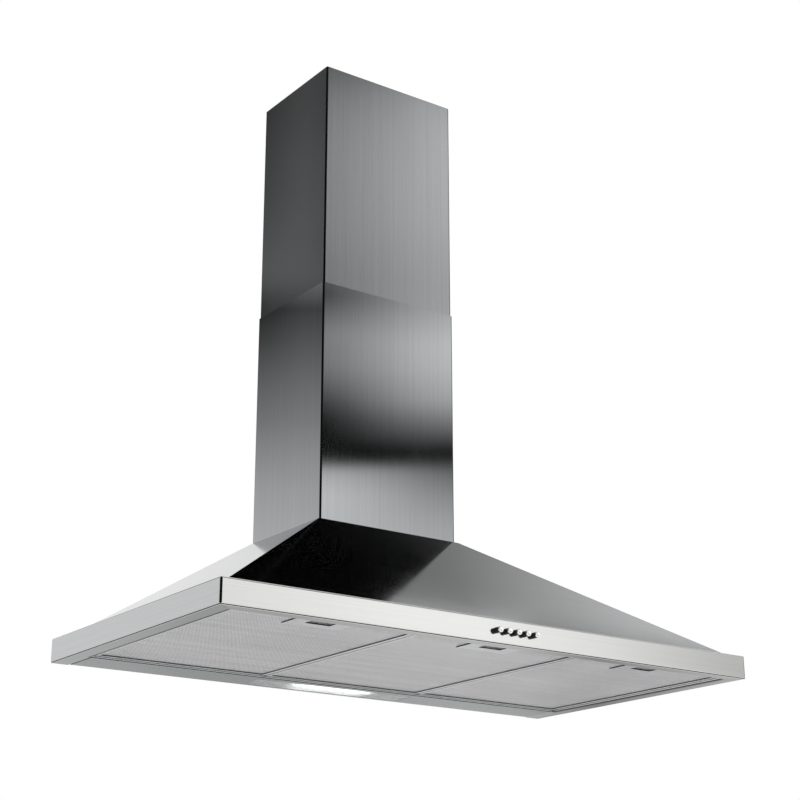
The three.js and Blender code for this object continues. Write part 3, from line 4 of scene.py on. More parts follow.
import bmesh
import bpy
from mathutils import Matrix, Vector

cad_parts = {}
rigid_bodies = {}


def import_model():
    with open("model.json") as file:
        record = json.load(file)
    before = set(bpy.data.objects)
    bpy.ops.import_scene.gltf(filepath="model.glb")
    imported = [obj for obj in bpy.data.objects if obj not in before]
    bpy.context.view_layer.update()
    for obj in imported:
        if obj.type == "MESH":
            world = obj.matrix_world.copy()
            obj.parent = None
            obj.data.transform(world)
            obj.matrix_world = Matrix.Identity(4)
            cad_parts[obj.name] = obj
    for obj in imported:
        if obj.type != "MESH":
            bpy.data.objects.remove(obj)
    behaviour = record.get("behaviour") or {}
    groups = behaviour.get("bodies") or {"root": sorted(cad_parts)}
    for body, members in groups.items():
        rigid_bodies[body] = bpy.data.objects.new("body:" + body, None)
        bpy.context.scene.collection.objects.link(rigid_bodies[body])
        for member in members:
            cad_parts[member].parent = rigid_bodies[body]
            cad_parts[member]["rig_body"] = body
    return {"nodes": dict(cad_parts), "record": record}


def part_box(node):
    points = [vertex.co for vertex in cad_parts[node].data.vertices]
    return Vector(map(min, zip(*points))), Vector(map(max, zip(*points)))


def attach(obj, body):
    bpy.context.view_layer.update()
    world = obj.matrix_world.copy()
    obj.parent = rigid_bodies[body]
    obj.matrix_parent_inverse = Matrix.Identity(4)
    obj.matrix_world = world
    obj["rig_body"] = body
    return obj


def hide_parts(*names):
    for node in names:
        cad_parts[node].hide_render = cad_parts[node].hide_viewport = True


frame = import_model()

# A wall-mounted chimney range hood in brushed stainless steel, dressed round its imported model.
# Metres, +Z up, the wall at +Y, the user in front at -Y.

scene = bpy.context.scene
nodes = frame["nodes"]
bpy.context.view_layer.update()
mm = 0.001


# Helpers for node trees

def addNode(tree, kind, settings=None, values=None):
    node = tree.nodes.new("ShaderNode" + kind)
    for key, value in (settings or {}).items():
        setattr(node, key, value)
    for key, value in (values or {}).items():
        node.inputs[key].default_value = value
    return node


# Each value is a number or the output of another node.
def maths(tree, operation, *values):
    node = addNode(tree, "Math", {"operation": operation})
    for socket, value in zip(node.inputs, values):
        if isinstance(value, (int, float)):
            socket.default_value = value
        else:
            tree.links.new(value, socket)
    return node.outputs[0]


# Camera and studio

camera = {
    "place": (-1.45755, -2.01832, -0.44567),
    "heading": 35.533,     # degrees from +Y towards +X
    "tilt": 19.098,        # degrees above the horizon: the hood is seen from below
    "lens": 77.384,
    "sensor": 36,
}

studio = {
    "floorLevel": -1.2,
    "floorSize": 30.0,
    "floorColour": (0.86, 0.86, 0.86, 1),
    "floorRoughness": 0.9,
    "floorFade": (2.2, 7.0),   # the floor runs out to the white of the sky between these distances
    "skyStrength": 0.85,
    # softboxes: place, target, size, watts
    "key": ((2.6, -3.0, 2.4), (0, 0, 0.4), (2.2, 2.2), 60),
    "fill": ((-3.4, -1.6, 0.9), (0, 0, 0.3), (2.4, 2.4), 30),
    "back": ((0.4, 3.2, 3.0), (0, 0, 0.6), (2.5, 1.6), 40),
}


def aimed(place, target):
    return (Vector(target) - Vector(place)).to_track_quat("-Z", "Y").to_euler()


def addCamera():
    data = bpy.data.cameras.new("camera")
    data.lens = camera["lens"]
    data.sensor_width = camera["sensor"]
    item = bpy.data.objects.new("camera", data)
    scene.collection.objects.link(item)
    yaw, tilt = math.radians(camera["heading"]), math.radians(camera["tilt"])
    ahead = Vector((math.sin(yaw) * math.cos(tilt), math.cos(yaw) * math.cos(tilt), math.sin(tilt)))
    item.location = camera["place"]
    item.rotation_euler = ahead.to_track_quat("-Z", "Y").to_euler()
    scene.camera = item


def addSoftbox(name):
    place, target, size, watts = studio[name]
    data = bpy.data.lights.new(name, "AREA")
    data.shape = "RECTANGLE"
    data.size, data.size_y = size
    data.energy = watts
    item = bpy.data.objects.new(name, data)
    scene.collection.objects.link(item)
    item.location = place
    item.rotation_euler = aimed(place, target)
    item.visible_glossy = False      # the metal sees the sky and the cards, not a lamp


# One for what the lens, a mirror or glass shows, nought for light that falls on a surface.
def raySeen(tree):
    rays = addNode(tree, "LightPath").outputs
    seen = maths(tree, "MAXIMUM", rays["Is Camera Ray"], rays["Is Glossy Ray"])
    return maths(tree, "MAXIMUM", seen, rays["Is Transmission Ray"])


# White to the lens and in reflections, a little dimmer as light on the surfaces.
def addSky():
    world = bpy.data.worlds.new("sky")
    scene.world = world
    world.use_nodes = True
    tree = world.node_tree
    tree.nodes.clear()
    strength = addNode(tree, "MapRange", values={"To Min": studio["skyStrength"], "To Max": 1.0})
    tree.links.new(raySeen(tree), strength.inputs["Value"])
    background = addNode(tree, "Background", values={"Color": (1, 1, 1, 1)})
    tree.links.new(strength.outputs["Result"], background.inputs["Strength"])
    out = addNode(tree, "OutputWorld")
    tree.links.new(background.outputs[0], out.inputs["Surface"])


def addFloor():
    half = studio["floorSize"] / 2
    mesh = bpy.data.meshes.new("floor")
    level = studio["floorLevel"]
    mesh.from_pydata([(x, y, level) for x, y in ((-half, -half), (half, -half), (half, half), (-half, half))], [],
                     [(0, 1, 2, 3)])
    item = bpy.data.objects.new("floor", mesh)
    scene.collection.objects.link(item)
    paint = bpy.data.materials.new("floorPaint")
    paint.use_nodes = True
    tree = paint.node_tree
    shader = tree.nodes["Principled BSDF"]
    shader.inputs["Base Color"].default_value = studio["floorColour"]
    shader.inputs["Roughness"].default_value = studio["floorRoughness"]
    away = addNode(tree, "VectorMath", {"operation": "LENGTH"})
    tree.links.new(addNode(tree, "NewGeometry").outputs["Position"], away.inputs[0])
    far = rampShare(tree, away.outputs["Value"], *studio["floorFade"], True)
    glow = addNode(tree, "Emission", values={"Color": (1, 1, 1, 1)})
    mix = addNode(tree, "MixShader")
    tree.links.new(maths(tree, "MULTIPLY", far, raySeen(tree)), mix.inputs[0])
    tree.links.new(shader.outputs[0], mix.inputs[1])
    tree.links.new(glow.outputs[0], mix.inputs[2])
    tree.links.new(mix.outputs[0], tree.nodes["Material Output"].inputs["Surface"])
    mesh.materials.append(paint)


# Grey studio cards that only reflections see: they give the steel its bands and shades. A curved
# card stands round its centre. Headings are in degrees from the front (-Y) towards +X. A card is
# graded either by heading alone, or by profiles of (height, grey) stops, each of which gives way
# to the next between the two headings of a blend.
cards = {
    "frontCard": {
        "centre": (0, 0.05), "radius": 4.0, "from": -75, "to": 80, "height": (1.18, 7.0),
        "blends": ((12, 24), (30, 40)),
        "profiles": (
            ((1.18, 1.0), (1.50, 0.9), (2.50, 0.75), (4.60, 0.62), (7.0, 0.55)),
            ((1.18, 0.9), (1.42, 1.0), (1.515, 0.80), (1.555, 0.0), (1.73, 0.0), (1.80, 0.05), (1.86, 0.15),
             (1.96, 0.30), (2.10, 0.36), (2.27, 0.08), (2.54, 0.28), (2.80, 0.32), (3.25, 0.32), (3.36, 0.0),
             (7.0, 0.0)),
            ((1.18, 0.76), (1.30, 0.66), (1.39, 0.50), (1.50, 0.26), (1.56, 0.04), (1.60, 0.0), (1.66, 0.16),
             (1.74, 0.42), (1.81, 0.72), (1.95, 0.95), (2.05, 1.0), (2.25, 0.66), (2.60, 0.98), (3.25, 1.02),
             (3.36, 0.0), (7.0, 0.0)),
        ),
    },
    "rimCard": {
        "centre": (0, 0.05), "radius": 4.0, "from": -20, "to": 75, "height": (0.1, 1.18),
        "byHeading": ((-20, 1.2), (10, 1.05), (21, 1.10), (31, 1.30), (35, 1.32), (41, 1.14), (48, 0.70), (56, 0.80),
                      (75, 1.2)),
    },
    "leftCard": {
        "centre": (-0.11, 0.15), "radius": 1.0, "from": -185, "to": -100, "height": (0.44, 3.2),
        "blends": ((-153, -144.5), (-142.8, -140.2)),
        "profiles": (
            ((0.44, 0.75), (0.57, 0.60), (0.73, 0.30), (0.91, 0.08), (0.99, 0.02), (1.06, 0.16), (1.25, 0.07),
             (1.46, 0.03), (3.2, 0.02)),
            ((0.44, 0.75), (0.57, 0.62), (0.73, 0.36), (0.91, 0.17), (0.99, 0.09), (1.06, 0.25), (1.35, 0.22),
             (1.50, 0.17), (3.2, 0.08)),
            ((0.44, 0.75), (0.57, 0.62), (0.73, 0.34), (0.91, 0.08), (0.99, 0.0), (3.2, 0.0)),
        ),
    },
    # these two darken the upright bends
    "cornerCard": {
        "centre": (0, 0.05), "radius": 3.5, "from": -98, "to": -32, "height": (0.45, 3.1),
        "byHeading": ((-98, 0.6), (-90, 0.05), (-45, 0.05), (-32, 0.5)),
    },
    "rightCard": {
        "centre": (0, 0.05), "radius": 3.5, "from": 100, "to": 180, "height": (0.45, 3.1),
        "byHeading": ((100, 0.5), (108, 0.08), (144, 0.08), (150, 0.6), (156, 0.82), (166, 0.94), (180, 0.95)),
    },
    "lowBackCard": {
        "centre": (0, 0), "radius": 3.0, "from": 95, "to": 205, "height": (-1.15, -0.06),
        "byHeading": ((95, 0.9), (120, 0.7), (128, 0.45), (133, 0.3), (137, 0.55), (141, 0.6), (146, 0.54), (152, 0.45),
                      (157, 0.45), (161, 0.52), (166, 0.58), (175, 0.7), (205, 0.9)),
    },
}

cardSteps = 48     # flats that a curved card is made of

# A level card above the back right, graded along X: it shades the canopy's front slope.
overheadCard = {"height": 1.2, "x": (0.3, 2.4), "y": (0.6, 1.3),
                "greys": ((0.30, 1.0), (0.50, 0.55), (0.58, 0.0), (0.65, 0.0), (0.78, 0.20), (1.00, 0.26),
                          (1.26, 0.45), (1.56, 0.71), (2.40, 1.0))}


def greyRamp(tree, share, stops):
    low, high = stops[0][0], stops[-1][0]
    ramp = addNode(tree, "ValToRGB")
    elements = ramp.color_ramp.elements
    while len(elements) < len(stops):
        elements.new(1.0)
    for element, (place, grey) in zip(elements, stops):
        element.position = (place - low) / (high - low)
        element.color = (grey, grey, grey, 1)
    tree.links.new(share, ramp.inputs["Fac"])
    return ramp.outputs["Color"]


def rampShare(tree, value, low, high, smooth=False):
    share = addNode(tree, "MapRange", {"interpolation_type": "SMOOTHSTEP" if smooth else "LINEAR"},
                    {"From Min": low, "From Max": high})
    tree.links.new(value, share.inputs["Value"])
    return share.outputs["Result"]


def standCard(name, corners, faces, paintGreys):
    mesh = bpy.data.meshes.new(name)
    mesh.from_pydata(corners, [], faces)
    item = bpy.data.objects.new(name, mesh)
    scene.collection.objects.link(item)
    item.visible_camera = False
    item.visible_diffuse = False
    item.visible_shadow = False
    item.visible_transmission = False
    paint = bpy.data.materials.new(name + "Paint")
    paint.use_nodes = True
    tree = paint.node_tree
    tree.nodes.clear()
    parts = addNode(tree, "SeparateXYZ")
    tree.links.new(addNode(tree, "TexCoord").outputs["Object"], parts.inputs[0])
    glow = addNode(tree, "Emission")
    tree.links.new(paintGreys(tree, parts.outputs), glow.inputs["Color"])
    out = addNode(tree, "OutputMaterial")
    tree.links.new(glow.outputs[0], out.inputs["Surface"])
    mesh.materials.append(paint)


def addCurvedCard(name):
    spec = cards[name]
    centreX, centreY = spec["centre"]
    low, high = spec["height"]
    radius = spec["radius"]
    corners = []
    for i in range(cardSteps + 1):
        turn = math.radians(spec["from"] + (spec["to"] - spec["from"]) * i / cardSteps)
        for level in (low, high):
            corners.append((centreX + radius * math.sin(turn), centreY - radius * math.cos(turn), level))
    faces = [(2 * i, 2 * i + 2, 2 * i + 3, 2 * i + 1) for i in range(cardSteps)]

    # heading is measured from the middle of the card, where the arc tangent has no jump
    middle = math.radians((spec["from"] + spec["to"]) / 2)

    def paintGreys(tree, parts):
        sine, cosine = math.sin(middle), math.cos(middle)
        fromX = maths(tree, "SUBTRACT", parts["X"], centreX)
        fromY = maths(tree, "SUBTRACT", parts["Y"], centreY)
        forward = maths(tree, "MULTIPLY_ADD", fromX, sine, maths(tree, "MULTIPLY", fromY, -cosine))
        aside = maths(tree, "MULTIPLY_ADD", fromX, cosine, maths(tree, "MULTIPLY", fromY, sine))
        heading = maths(tree, "ARCTAN2", aside, forward)

        def turned(degrees):
            return math.radians(degrees) - middle

        if "byHeading" in spec:
            stops = spec["byHeading"]
            share = rampShare(tree, heading, turned(stops[0][0]), turned(stops[-1][0]))
            return greyRamp(tree, share, stops)
        share = rampShare(tree, parts["Z"], low, high)
        colour = greyRamp(tree, share, spec["profiles"][0])
        for blend, profile in zip(spec["blends"], spec["profiles"][1:]):
            mix = addNode(tree, "Mix", {"data_type": "RGBA"})
            tree.links.new(rampShare(tree, heading, *map(turned, blend), True), mix.inputs["Factor"])
            tree.links.new(colour, mix.inputs["A"])
            tree.links.new(greyRamp(tree, share, profile), mix.inputs["B"])
            colour = mix.outputs["Result"]
        return colour

    standCard(name, corners, faces, paintGreys)


def addOverheadCard():
    (left, right), (near, far) = overheadCard["x"], overheadCard["y"]
    level = overheadCard["height"]
    corners = [(left, near, level), (right, near, level), (right, far, level), (left, far, level)]

    def paintGreys(tree, parts):
        return greyRamp(tree, rampShare(tree, parts["X"], left, right), overheadCard["greys"])

    standCard("overheadCard", corners, [(0, 1, 2, 3)], paintGreys)


addCamera()
addSky()
addFloor()
for boxName in ("key", "fill", "back"):
    addSoftbox(boxName)
for cardName in cards:
    addCurvedCard(cardName)
addOverheadCard()
scene.view_settings.view_transform = "Standard"
print("camera and studio done")


# Shared effects

def newGroup(name, inputs, outputs):
    group = bpy.data.node_groups.new(name, "ShaderNodeTree")
    for socketName, kind, value in inputs:
        socket = group.interface.new_socket(socketName, in_out="INPUT", socket_type="NodeSocket" + kind)
        if value is not None:
            socket.default_value = value
    for socketName, kind in outputs:
        group.interface.new_socket(socketName, in_out="OUTPUT", socket_type="NodeSocket" + kind)
    entry = group.nodes.new("NodeGroupInput")
    leave = group.nodes.new("NodeGroupOutput")
    return group, entry, leave


# Brush lines: noise drawn out along one direction. Place comes in already squeezed along the grain.
def makeBrushLines():
    group, entry, leave = newGroup(
        "brushLines",
        [("Place", "Vector", None), ("Fine", "Float", 1400.0), ("Broad", "Float", 260.0), ("Bump", "Float", 0.08)],
        [("Lines", "Float"), ("Streaks", "Float"), ("Normal", "Vector")],
    )
    fine = addNode(group, "TexNoise", values={"Detail": 3.0, "Roughness": 0.65})
    broad = addNode(group, "TexNoise", values={"Detail": 2.0, "Roughness": 0.5})
    for noise, scale in ((fine, "Fine"), (broad, "Broad")):
        group.links.new(entry.outputs["Place"], noise.inputs["Vector"])
        group.links.new(entry.outputs[scale], noise.inputs["Scale"])
    mixed = maths(group, "MULTIPLY_ADD", broad.outputs["Fac"], 0.35, fine.outputs["Fac"])
    bump = addNode(group, "Bump", values={"Distance": 0.0004})
    group.links.new(mixed, bump.inputs["Height"])
    group.links.new(entry.outputs["Bump"], bump.inputs["Strength"])
    group.links.new(fine.outputs["Fac"], leave.inputs["Lines"])
    group.links.new(broad.outputs["Fac"], leave.inputs["Streaks"])
    group.links.new(bump.outputs["Normal"], leave.inputs["Normal"])
    return group


# Faint clouds left by wiping and rolling, for tone and gloss.
def makeWipedFilm():
    group, entry, leave = newGroup(
        "wipedFilm",
        [("Place", "Vector", None), ("Size", "Float", 5.0), ("Amount", "Float", 0.5)],
        [("Film", "Float")],
    )
    cloud = addNode(group, "TexNoise", values={"Detail": 4.0, "Roughness": 0.55, "Distortion": 0.6})
    group.links.new(entry.outputs["Place"], cloud.inputs["Vector"])
    group.links.new(entry.outputs["Size"], cloud.inputs["Scale"])
    shaped = addNode(group, "MapRange", values={"From Min": 0.3, "From Max": 0.7})
    group.links.new(cloud.outputs["Fac"], shaped.inputs["Value"])
    scaled = maths(group, "MULTIPLY", shaped.outputs["Result"], entry.outputs["Amount"])
    group.links.new(scaled, leave.inputs["Film"])
    return group


# The fine orange peel of moulded plastic, with a faint mottle.
def makeMouldSkin():
    group, entry, leave = newGroup(
        "mouldSkin",
        [("Place", "Vector", None), ("Grain", "Float", 900.0), ("Bump", "Float", 0.25)],
        [("Mottle", "Float"), ("Normal", "Vector")],
    )
    grain = addNode(group, "TexNoise", values={"Detail": 2.0})
    mottle = addNode(group, "TexNoise", values={"Scale": 22.0, "Detail": 3.0})
    group.links.new(entry.outputs["Place"], grain.inputs["Vector"])
    group.links.new(entry.outputs["Grain"], grain.inputs["Scale"])
    group.links.new(entry.outputs["Place"], mottle.inputs["Vector"])
    bump = addNode(group, "Bump", values={"Distance": 0.0003})
    group.links.new(grain.outputs["Fac"], bump.inputs["Height"])
    group.links.new(entry.outputs["Bump"], bump.inputs["Strength"])
    group.links.new(mottle.outputs["Fac"], leave.inputs["Mottle"])
    group.links.new(bump.outputs["Normal"], leave.inputs["Normal"])
    return group


# Perforated sheet: rows of small holes set in a triangle pattern, lying in the plane of Place's x and y.
def makePerforation():
    group, entry, leave = newGroup(
        "perforation",
        [("Place", "Vector", None), ("Pitch", "Float", 0.003), ("Hole", "Float", 0.34), ("Bump", "Float", 0.6)],
        [("Hole", "Float"), ("Normal", "Vector")],
    )
    parts = addNode(group, "SeparateXYZ")
    group.links.new(entry.outputs["Place"], parts.inputs[0])
    pitch = entry.outputs["Pitch"]
    rowShare = 0.866     # height of a triangle of holes, as a share of its side
    softness = 0.06
    rows = maths(group, "DIVIDE", parts.outputs["Y"], maths(group, "MULTIPLY", pitch, rowShare))
    odd = maths(group, "MODULO", maths(group, "ABSOLUTE", maths(group, "FLOOR", rows)), 2)
    along = maths(group, "ADD", maths(group, "DIVIDE", parts.outputs["X"], pitch), maths(group, "MULTIPLY", odd, 0.5))
    fromX = maths(group, "SUBTRACT", maths(group, "FRACT", along), 0.5)
    fromY = maths(group, "MULTIPLY", maths(group, "SUBTRACT", maths(group, "FRACT", rows), 0.5), rowShare)
    squares = maths(group, "ADD", maths(group, "MULTIPLY", fromX, fromX), maths(group, "MULTIPLY", fromY, fromY))
    reach = maths(group, "SQRT", squares)
    edge = addNode(group, "MapRange", {"interpolation_type": "SMOOTHSTEP"}, {"To Min": 1.0, "To Max": 0.0})
    group.links.new(reach, edge.inputs["Value"])
    group.links.new(maths(group, "SUBTRACT", entry.outputs["Hole"], softness), edge.inputs["From Min"])
    group.links.new(maths(group, "ADD", entry.outputs["Hole"], softness), edge.inputs["From Max"])
    bump = addNode(group, "Bump", {"invert": True}, {"Distance": 0.0008})
    group.links.new(edge.outputs["Result"], bump.inputs["Height"])
    group.links.new(entry.outputs["Bump"], bump.inputs["Strength"])
    group.links.new(edge.outputs["Result"], leave.inputs["Hole"])
    group.links.new(bump.outputs["Normal"], leave.inputs["Normal"])
    return group


# The folds of a sheet: upright ones look sideways and frontways alike, and the middle of a level
# one along a lower edge looks aside and down alike. Walls are the faces that stand upright.
# Materials paint shade on these faces: dark folds, and filter walls in the gaps between filters.
def makeFaceMasks():
    group, entry, leave = newGroup(
        "faceMasks", [("Upright", "Float", 0.2), ("Level", "Float", 0.4)], [("Fold", "Float"), ("Wall", "Float")])
    parts = addNode(group, "SeparateXYZ")
    group.links.new(addNode(group, "NewGeometry").outputs["True Normal"], parts.inputs[0])
    sideways, frontways, upward = (parts.outputs[axis] for axis in "XYZ")
    upright = maths(group, "ABSOLUTE", maths(group, "MULTIPLY", sideways, frontways))
    outward = maths(group, "MAXIMUM", maths(group, "ABSOLUTE", sideways), maths(group, "ABSOLUTE", frontways))
    level = maths(group, "MULTIPLY", outward, maths(group, "MULTIPLY", upward, -1.0))
    isFold = maths(group, "MAXIMUM", maths(group, "GREATER_THAN", upright, entry.outputs["Upright"]),
                   maths(group, "GREATER_THAN", level, entry.outputs["Level"]))
    group.links.new(isFold, leave.inputs["Fold"])
    group.links.new(maths(group, "LESS_THAN", maths(group, "ABSOLUTE", upward), 0.5), leave.inputs["Wall"])
    return group


effects = {
    "brushLines": makeBrushLines(),
    "faceMasks": makeFaceMasks(),
    "wipedFilm": makeWipedFilm(),
    "mouldSkin": makeMouldSkin(),
    "perforation": makePerforation(),
}


def placeEffect(tree, name, place, values=None):
    node = tree.nodes.new("ShaderNodeGroup")
    node.node_tree = effects[name]
    if place is not None:
        tree.links.new(place, node.inputs["Place"])
    for key, value in (values or {}).items():
        node.inputs[key].default_value = value
    return node


# Materials

def newMaterial(name, roughness, metallic, settings=None):
    material = bpy.data.materials.new(name)
    material.use_nodes = True
    tree = material.node_tree
    shader = tree.nodes["Principled BSDF"]
    shader.inputs["Roughness"].default_value = roughness
    shader.inputs["Metallic"].default_value = metallic
    for key, value in (settings or {}).items():
        shader.inputs[key].default_value = value
    place = addNode(tree, "TexCoord").outputs["Object"]
    return material, tree, shader, place


def spread(tree, value, low, high):
    node = addNode(tree, "MapRange", values={"From Min": 0.3, "From Max": 0.7, "To Min": low, "To Max": high})
    tree.links.new(value, node.inputs["Value"])
    return node.outputs["Result"]


def blendColours(tree, share, first, second):
    node = addNode(tree, "Mix", {"data_type": "RGBA"})
    node.inputs["A"].default_value = (*first, 1)
    node.inputs["B"].default_value = (*second, 1)
    tree.links.new(share, node.inputs["Factor"])
    return node.outputs["Result"]


def squeezed(tree, place, scale):
    node = addNode(tree, "VectorMath", {"operation": "MULTIPLY"})
    node.inputs[1].default_value = scale
    tree.links.new(place, node.inputs[0])
    return node.outputs["Vector"]


# Painted shadow lines on the canopy: along its filter mouth's sides, and where its slopes meet the wall.
# The last two say how far a face must look down or up.
canopyShadowGaps = {"mouthHalf": 421 * mm, "gap": 6.5 * mm, "mouthY": (-0.213, 0.175), "wallY": 240.0 * mm,
               "down": -0.5, "up": 0.3}


def between(tree, value, low, high):
    return maths(tree, "MULTIPLY", maths(tree, "GREATER_THAN", value, low), maths(tree, "LESS_THAN", value, high))


def shadowGapMask(tree, place, fold):
    spot = addNode(tree, "SeparateXYZ")
    tree.links.new(place, spot.inputs[0])
    facing = addNode(tree, "SeparateXYZ")
    tree.links.new(addNode(tree, "NewGeometry").outputs["True Normal"], facing.inputs[0])
    half = canopyShadowGaps["mouthHalf"]
    mouth = between(tree, maths(tree, "ABSOLUTE", spot.outputs["X"]), half, half + canopyShadowGaps["gap"])
    mouth = maths(tree, "MULTIPLY", mouth, between(tree, spot.outputs["Y"], *canopyShadowGaps["mouthY"]))
    mouth = maths(tree, "MULTIPLY", mouth, maths(tree, "LESS_THAN", facing.outputs["Z"], canopyShadowGaps["down"]))
    wall = maths(tree, "MULTIPLY", maths(tree, "GREATER_THAN", spot.outputs["Y"], canopyShadowGaps["wallY"]),
                 maths(tree, "GREATER_THAN", facing.outputs["Z"], canopyShadowGaps["up"]))
    return maths(tree, "MAXIMUM", maths(tree, "MAXIMUM", mouth, wall), fold)


# A catch's finger pocket has painted shade on its walls along its rim only, up to this level.
catchShadeTop = 4.4 * mm


def catchPocketShade(tree, place, wall):
    spot = addNode(tree, "SeparateXYZ")
    tree.links.new(place, spot.inputs[0])
    return maths(tree, "MULTIPLY", wall, maths(tree, "LESS_THAN", spot.outputs["Z"], catchShadeTop))


# Grain that runs level round the canopy: along X on its front, along Y on its sides and flanges.
def levelGrain(tree, place, stretch):
    normal = addNode(tree, "NewGeometry").outputs["True Normal"]
    parts = addNode(tree, "SeparateXYZ")
    tree.links.new(normal, parts.inputs[0])
    sideways = maths(tree, "ABSOLUTE", parts.outputs["X"])
    frontways = maths(tree, "ABSOLUTE", parts.outputs["Y"])
    isFront = maths(tree, "GREATER_THAN", frontways, maths(tree, "ADD", sideways, 0.01))
    pick = addNode(tree, "Mix", {"data_type": "VECTOR"})
    tree.links.new(isFront, pick.inputs["Factor"])
    tree.links.new(squeezed(tree, place, (1, stretch, 1)), pick.inputs["A"])
    tree.links.new(squeezed(tree, place, (stretch, 1, 1)), pick.inputs["B"])
    return pick.outputs["Result"]


bareAluminium = {"tones": ((0.62, 0.63, 0.64), (0.72, 0.73, 0.74)), "rough": (0.24, 0.34), "grain": "across",
                 "stretch": 0.02, "bump": 0.08, "anisotropic": 0.0}
coverTones = ((0.46, 0.475, 0.485), (0.52, 0.535, 0.545))

steels = {
    # tones dark and light, roughness range, grain and how far it is stretched, bump, anisotropy, which
    # faces get painted shade and in what tone
    "coverSteel": {"tones": coverTones, "rough": (0.035, 0.055), "grain": "upright", "stretch": 0.006,
                   "bump": 0.015, "anisotropic": 0.3},
    "upperSteel": {"tones": coverTones, "rough": (0.15, 0.19), "grain": "upright", "stretch": 0.006,
                   "bump": 0.03, "anisotropic": 0.4},
    # The canopy gets painted shadow lines along its mouth and wall, and painted shade in its folds.
    "canopySteel": {"tones": ((0.475, 0.485, 0.49), (0.525, 0.535, 0.54)), "rough": (0.07, 0.10), "grain": "level",
                    "stretch": 0.008, "bump": 0.015, "paintedShadeOn": "ShadowGaps", "anisotropic": 0.0},
    "panelSteel": {"tones": ((0.61, 0.61, 0.60), (0.66, 0.66, 0.65)), "rough": (0.05, 0.08), "grain": "across",
                   "stretch": 0.006, "bump": 0.02, "anisotropic": 0.0},
    "undersideSteel": {"tones": ((0.34, 0.355, 0.36), (0.41, 0.425, 0.43)), "rough": (0.16, 0.24), "grain": "across",
                       "stretch": 0.008, "bump": 0.06, "anisotropic": 0.0},
    # A filter's upright walls get painted shade, standing for the shade in the gaps between filters.
    "filterAluminium": {**bareAluminium, "paintedShadeOn": "Wall", "paintedShadeTone": (0.06, 0.06, 0.062)},
    "catchAluminium": {**bareAluminium, "paintedShadeOn": "Catch"},
}

paintedShadeTone = (0.012, 0.012, 0.012)      # painted shade: the dark that folds, gaps and pockets show, where a finish has no tone of its own
steelFilm = 0.02                      # how much a wiped film adds to the roughness


def brushedSteel(name):
    spec = steels[name]
    material, tree, shader, place = newMaterial(name, 0.25, 1.0, {"Anisotropic": spec["anisotropic"]})
    stretch = spec["stretch"]
    grains = {
        "upright": lambda: squeezed(tree, place, (1, 1, stretch)),
        "across": lambda: squeezed(tree, place, (stretch, 1, 1)),
        "level": lambda: levelGrain(tree, place, stretch),
    }
    lines = placeEffect(tree, "brushLines", grains[spec["grain"]](), {"Bump": spec["bump"]})
    film = placeEffect(tree, "wipedFilm", place, {"Amount": steelFilm})
    half = maths(tree, "MULTIPLY", lines.outputs["Lines"], 0.5)
    tone = maths(tree, "MULTIPLY_ADD", lines.outputs["Streaks"], 0.5, half)
    colour = blendColours(tree, spread(tree, tone, 0.0, 1.0), *spec["tones"])
    # The chosen faces get painted shade in place of the dark that bends, gaps and pockets show.
    shadePainted = addNode(tree, "Mix", {"data_type": "RGBA"})
    shadePainted.inputs["B"].default_value = (*spec.get("paintedShadeTone", paintedShadeTone), 1)
    masks = placeEffect(tree, "faceMasks", None).outputs
    dark = {
        "Fold": lambda: masks["Fold"],
        "Wall": lambda: masks["Wall"],
        "ShadowGaps": lambda: shadowGapMask(tree, place, masks["Fold"]),
        "Catch": lambda: catchPocketShade(tree, place, masks["Wall"]),
    }
    tree.links.new(dark[spec.get("paintedShadeOn", "Fold")](), shadePainted.inputs["Factor"])
    tree.links.new(colour, shadePainted.inputs["A"])
    tree.links.new(shadePainted.outputs["Result"], shader.inputs["Base Color"])
    rough = maths(tree, "ADD", spread(tree, lines.outputs["Lines"], *spec["rough"]), film.outputs["Film"])
    tree.links.new(rough, shader.inputs["Roughness"])
    tree.links.new(lines.outputs["Normal"], shader.inputs["Normal"])
    return material


plastics = {
    # tones dark and light, roughness range, grain size, and how much a polished one reflects
    "blackPlastic": {"tones": ((0.018, 0.018, 0.019), (0.035, 0.035, 0.037)), "rough": (0.42, 0.56), "grain": 900},
    "greyPlastic": {"tones": ((0.10, 0.105, 0.11), (0.15, 0.155, 0.16)), "rough": (0.46, 0.6), "grain": 700},
    "whitePlastic": {"tones": ((0.76, 0.76, 0.73), (0.84, 0.84, 0.81)), "rough": (0.4, 0.52), "grain": 1000},
    "buttonSleeve": {"tones": ((0.004, 0.004, 0.004), (0.008, 0.008, 0.009)), "rough": (0.12, 0.2), "grain": 1600,
                     "specular": 0.12},
}


def mouldedPlastic(name):
    spec = plastics[name]
    material, tree, shader, place = newMaterial(name, 0.5, 0.0, {"Specular IOR Level": spec.get("specular", 0.5)})
    skin = placeEffect(tree, "mouldSkin", place, {"Grain": spec["grain"]})
    colour = blendColours(tree, spread(tree, skin.outputs["Mottle"], 0.0, 1.0), *spec["tones"])
    tree.links.new(colour, shader.inputs["Base Color"])
    tree.links.new(spread(tree, skin.outputs["Mottle"], *spec["rough"]), shader.inputs["Roughness"])
    tree.links.new(skin.outputs["Normal"], shader.inputs["Normal"])
    return material


# Zinc-coated sheet with the flaky spangle of its coating.
zincCoat = {"flakes": {"Scale": 90.0, "Randomness": 1.0}, "tones": ((0.50, 0.52, 0.53), (0.66, 0.68, 0.69)),
            "rough": {"To Min": 0.32, "To Max": 0.5}, "film": {"Amount": 0.1, "Size": 9.0}}


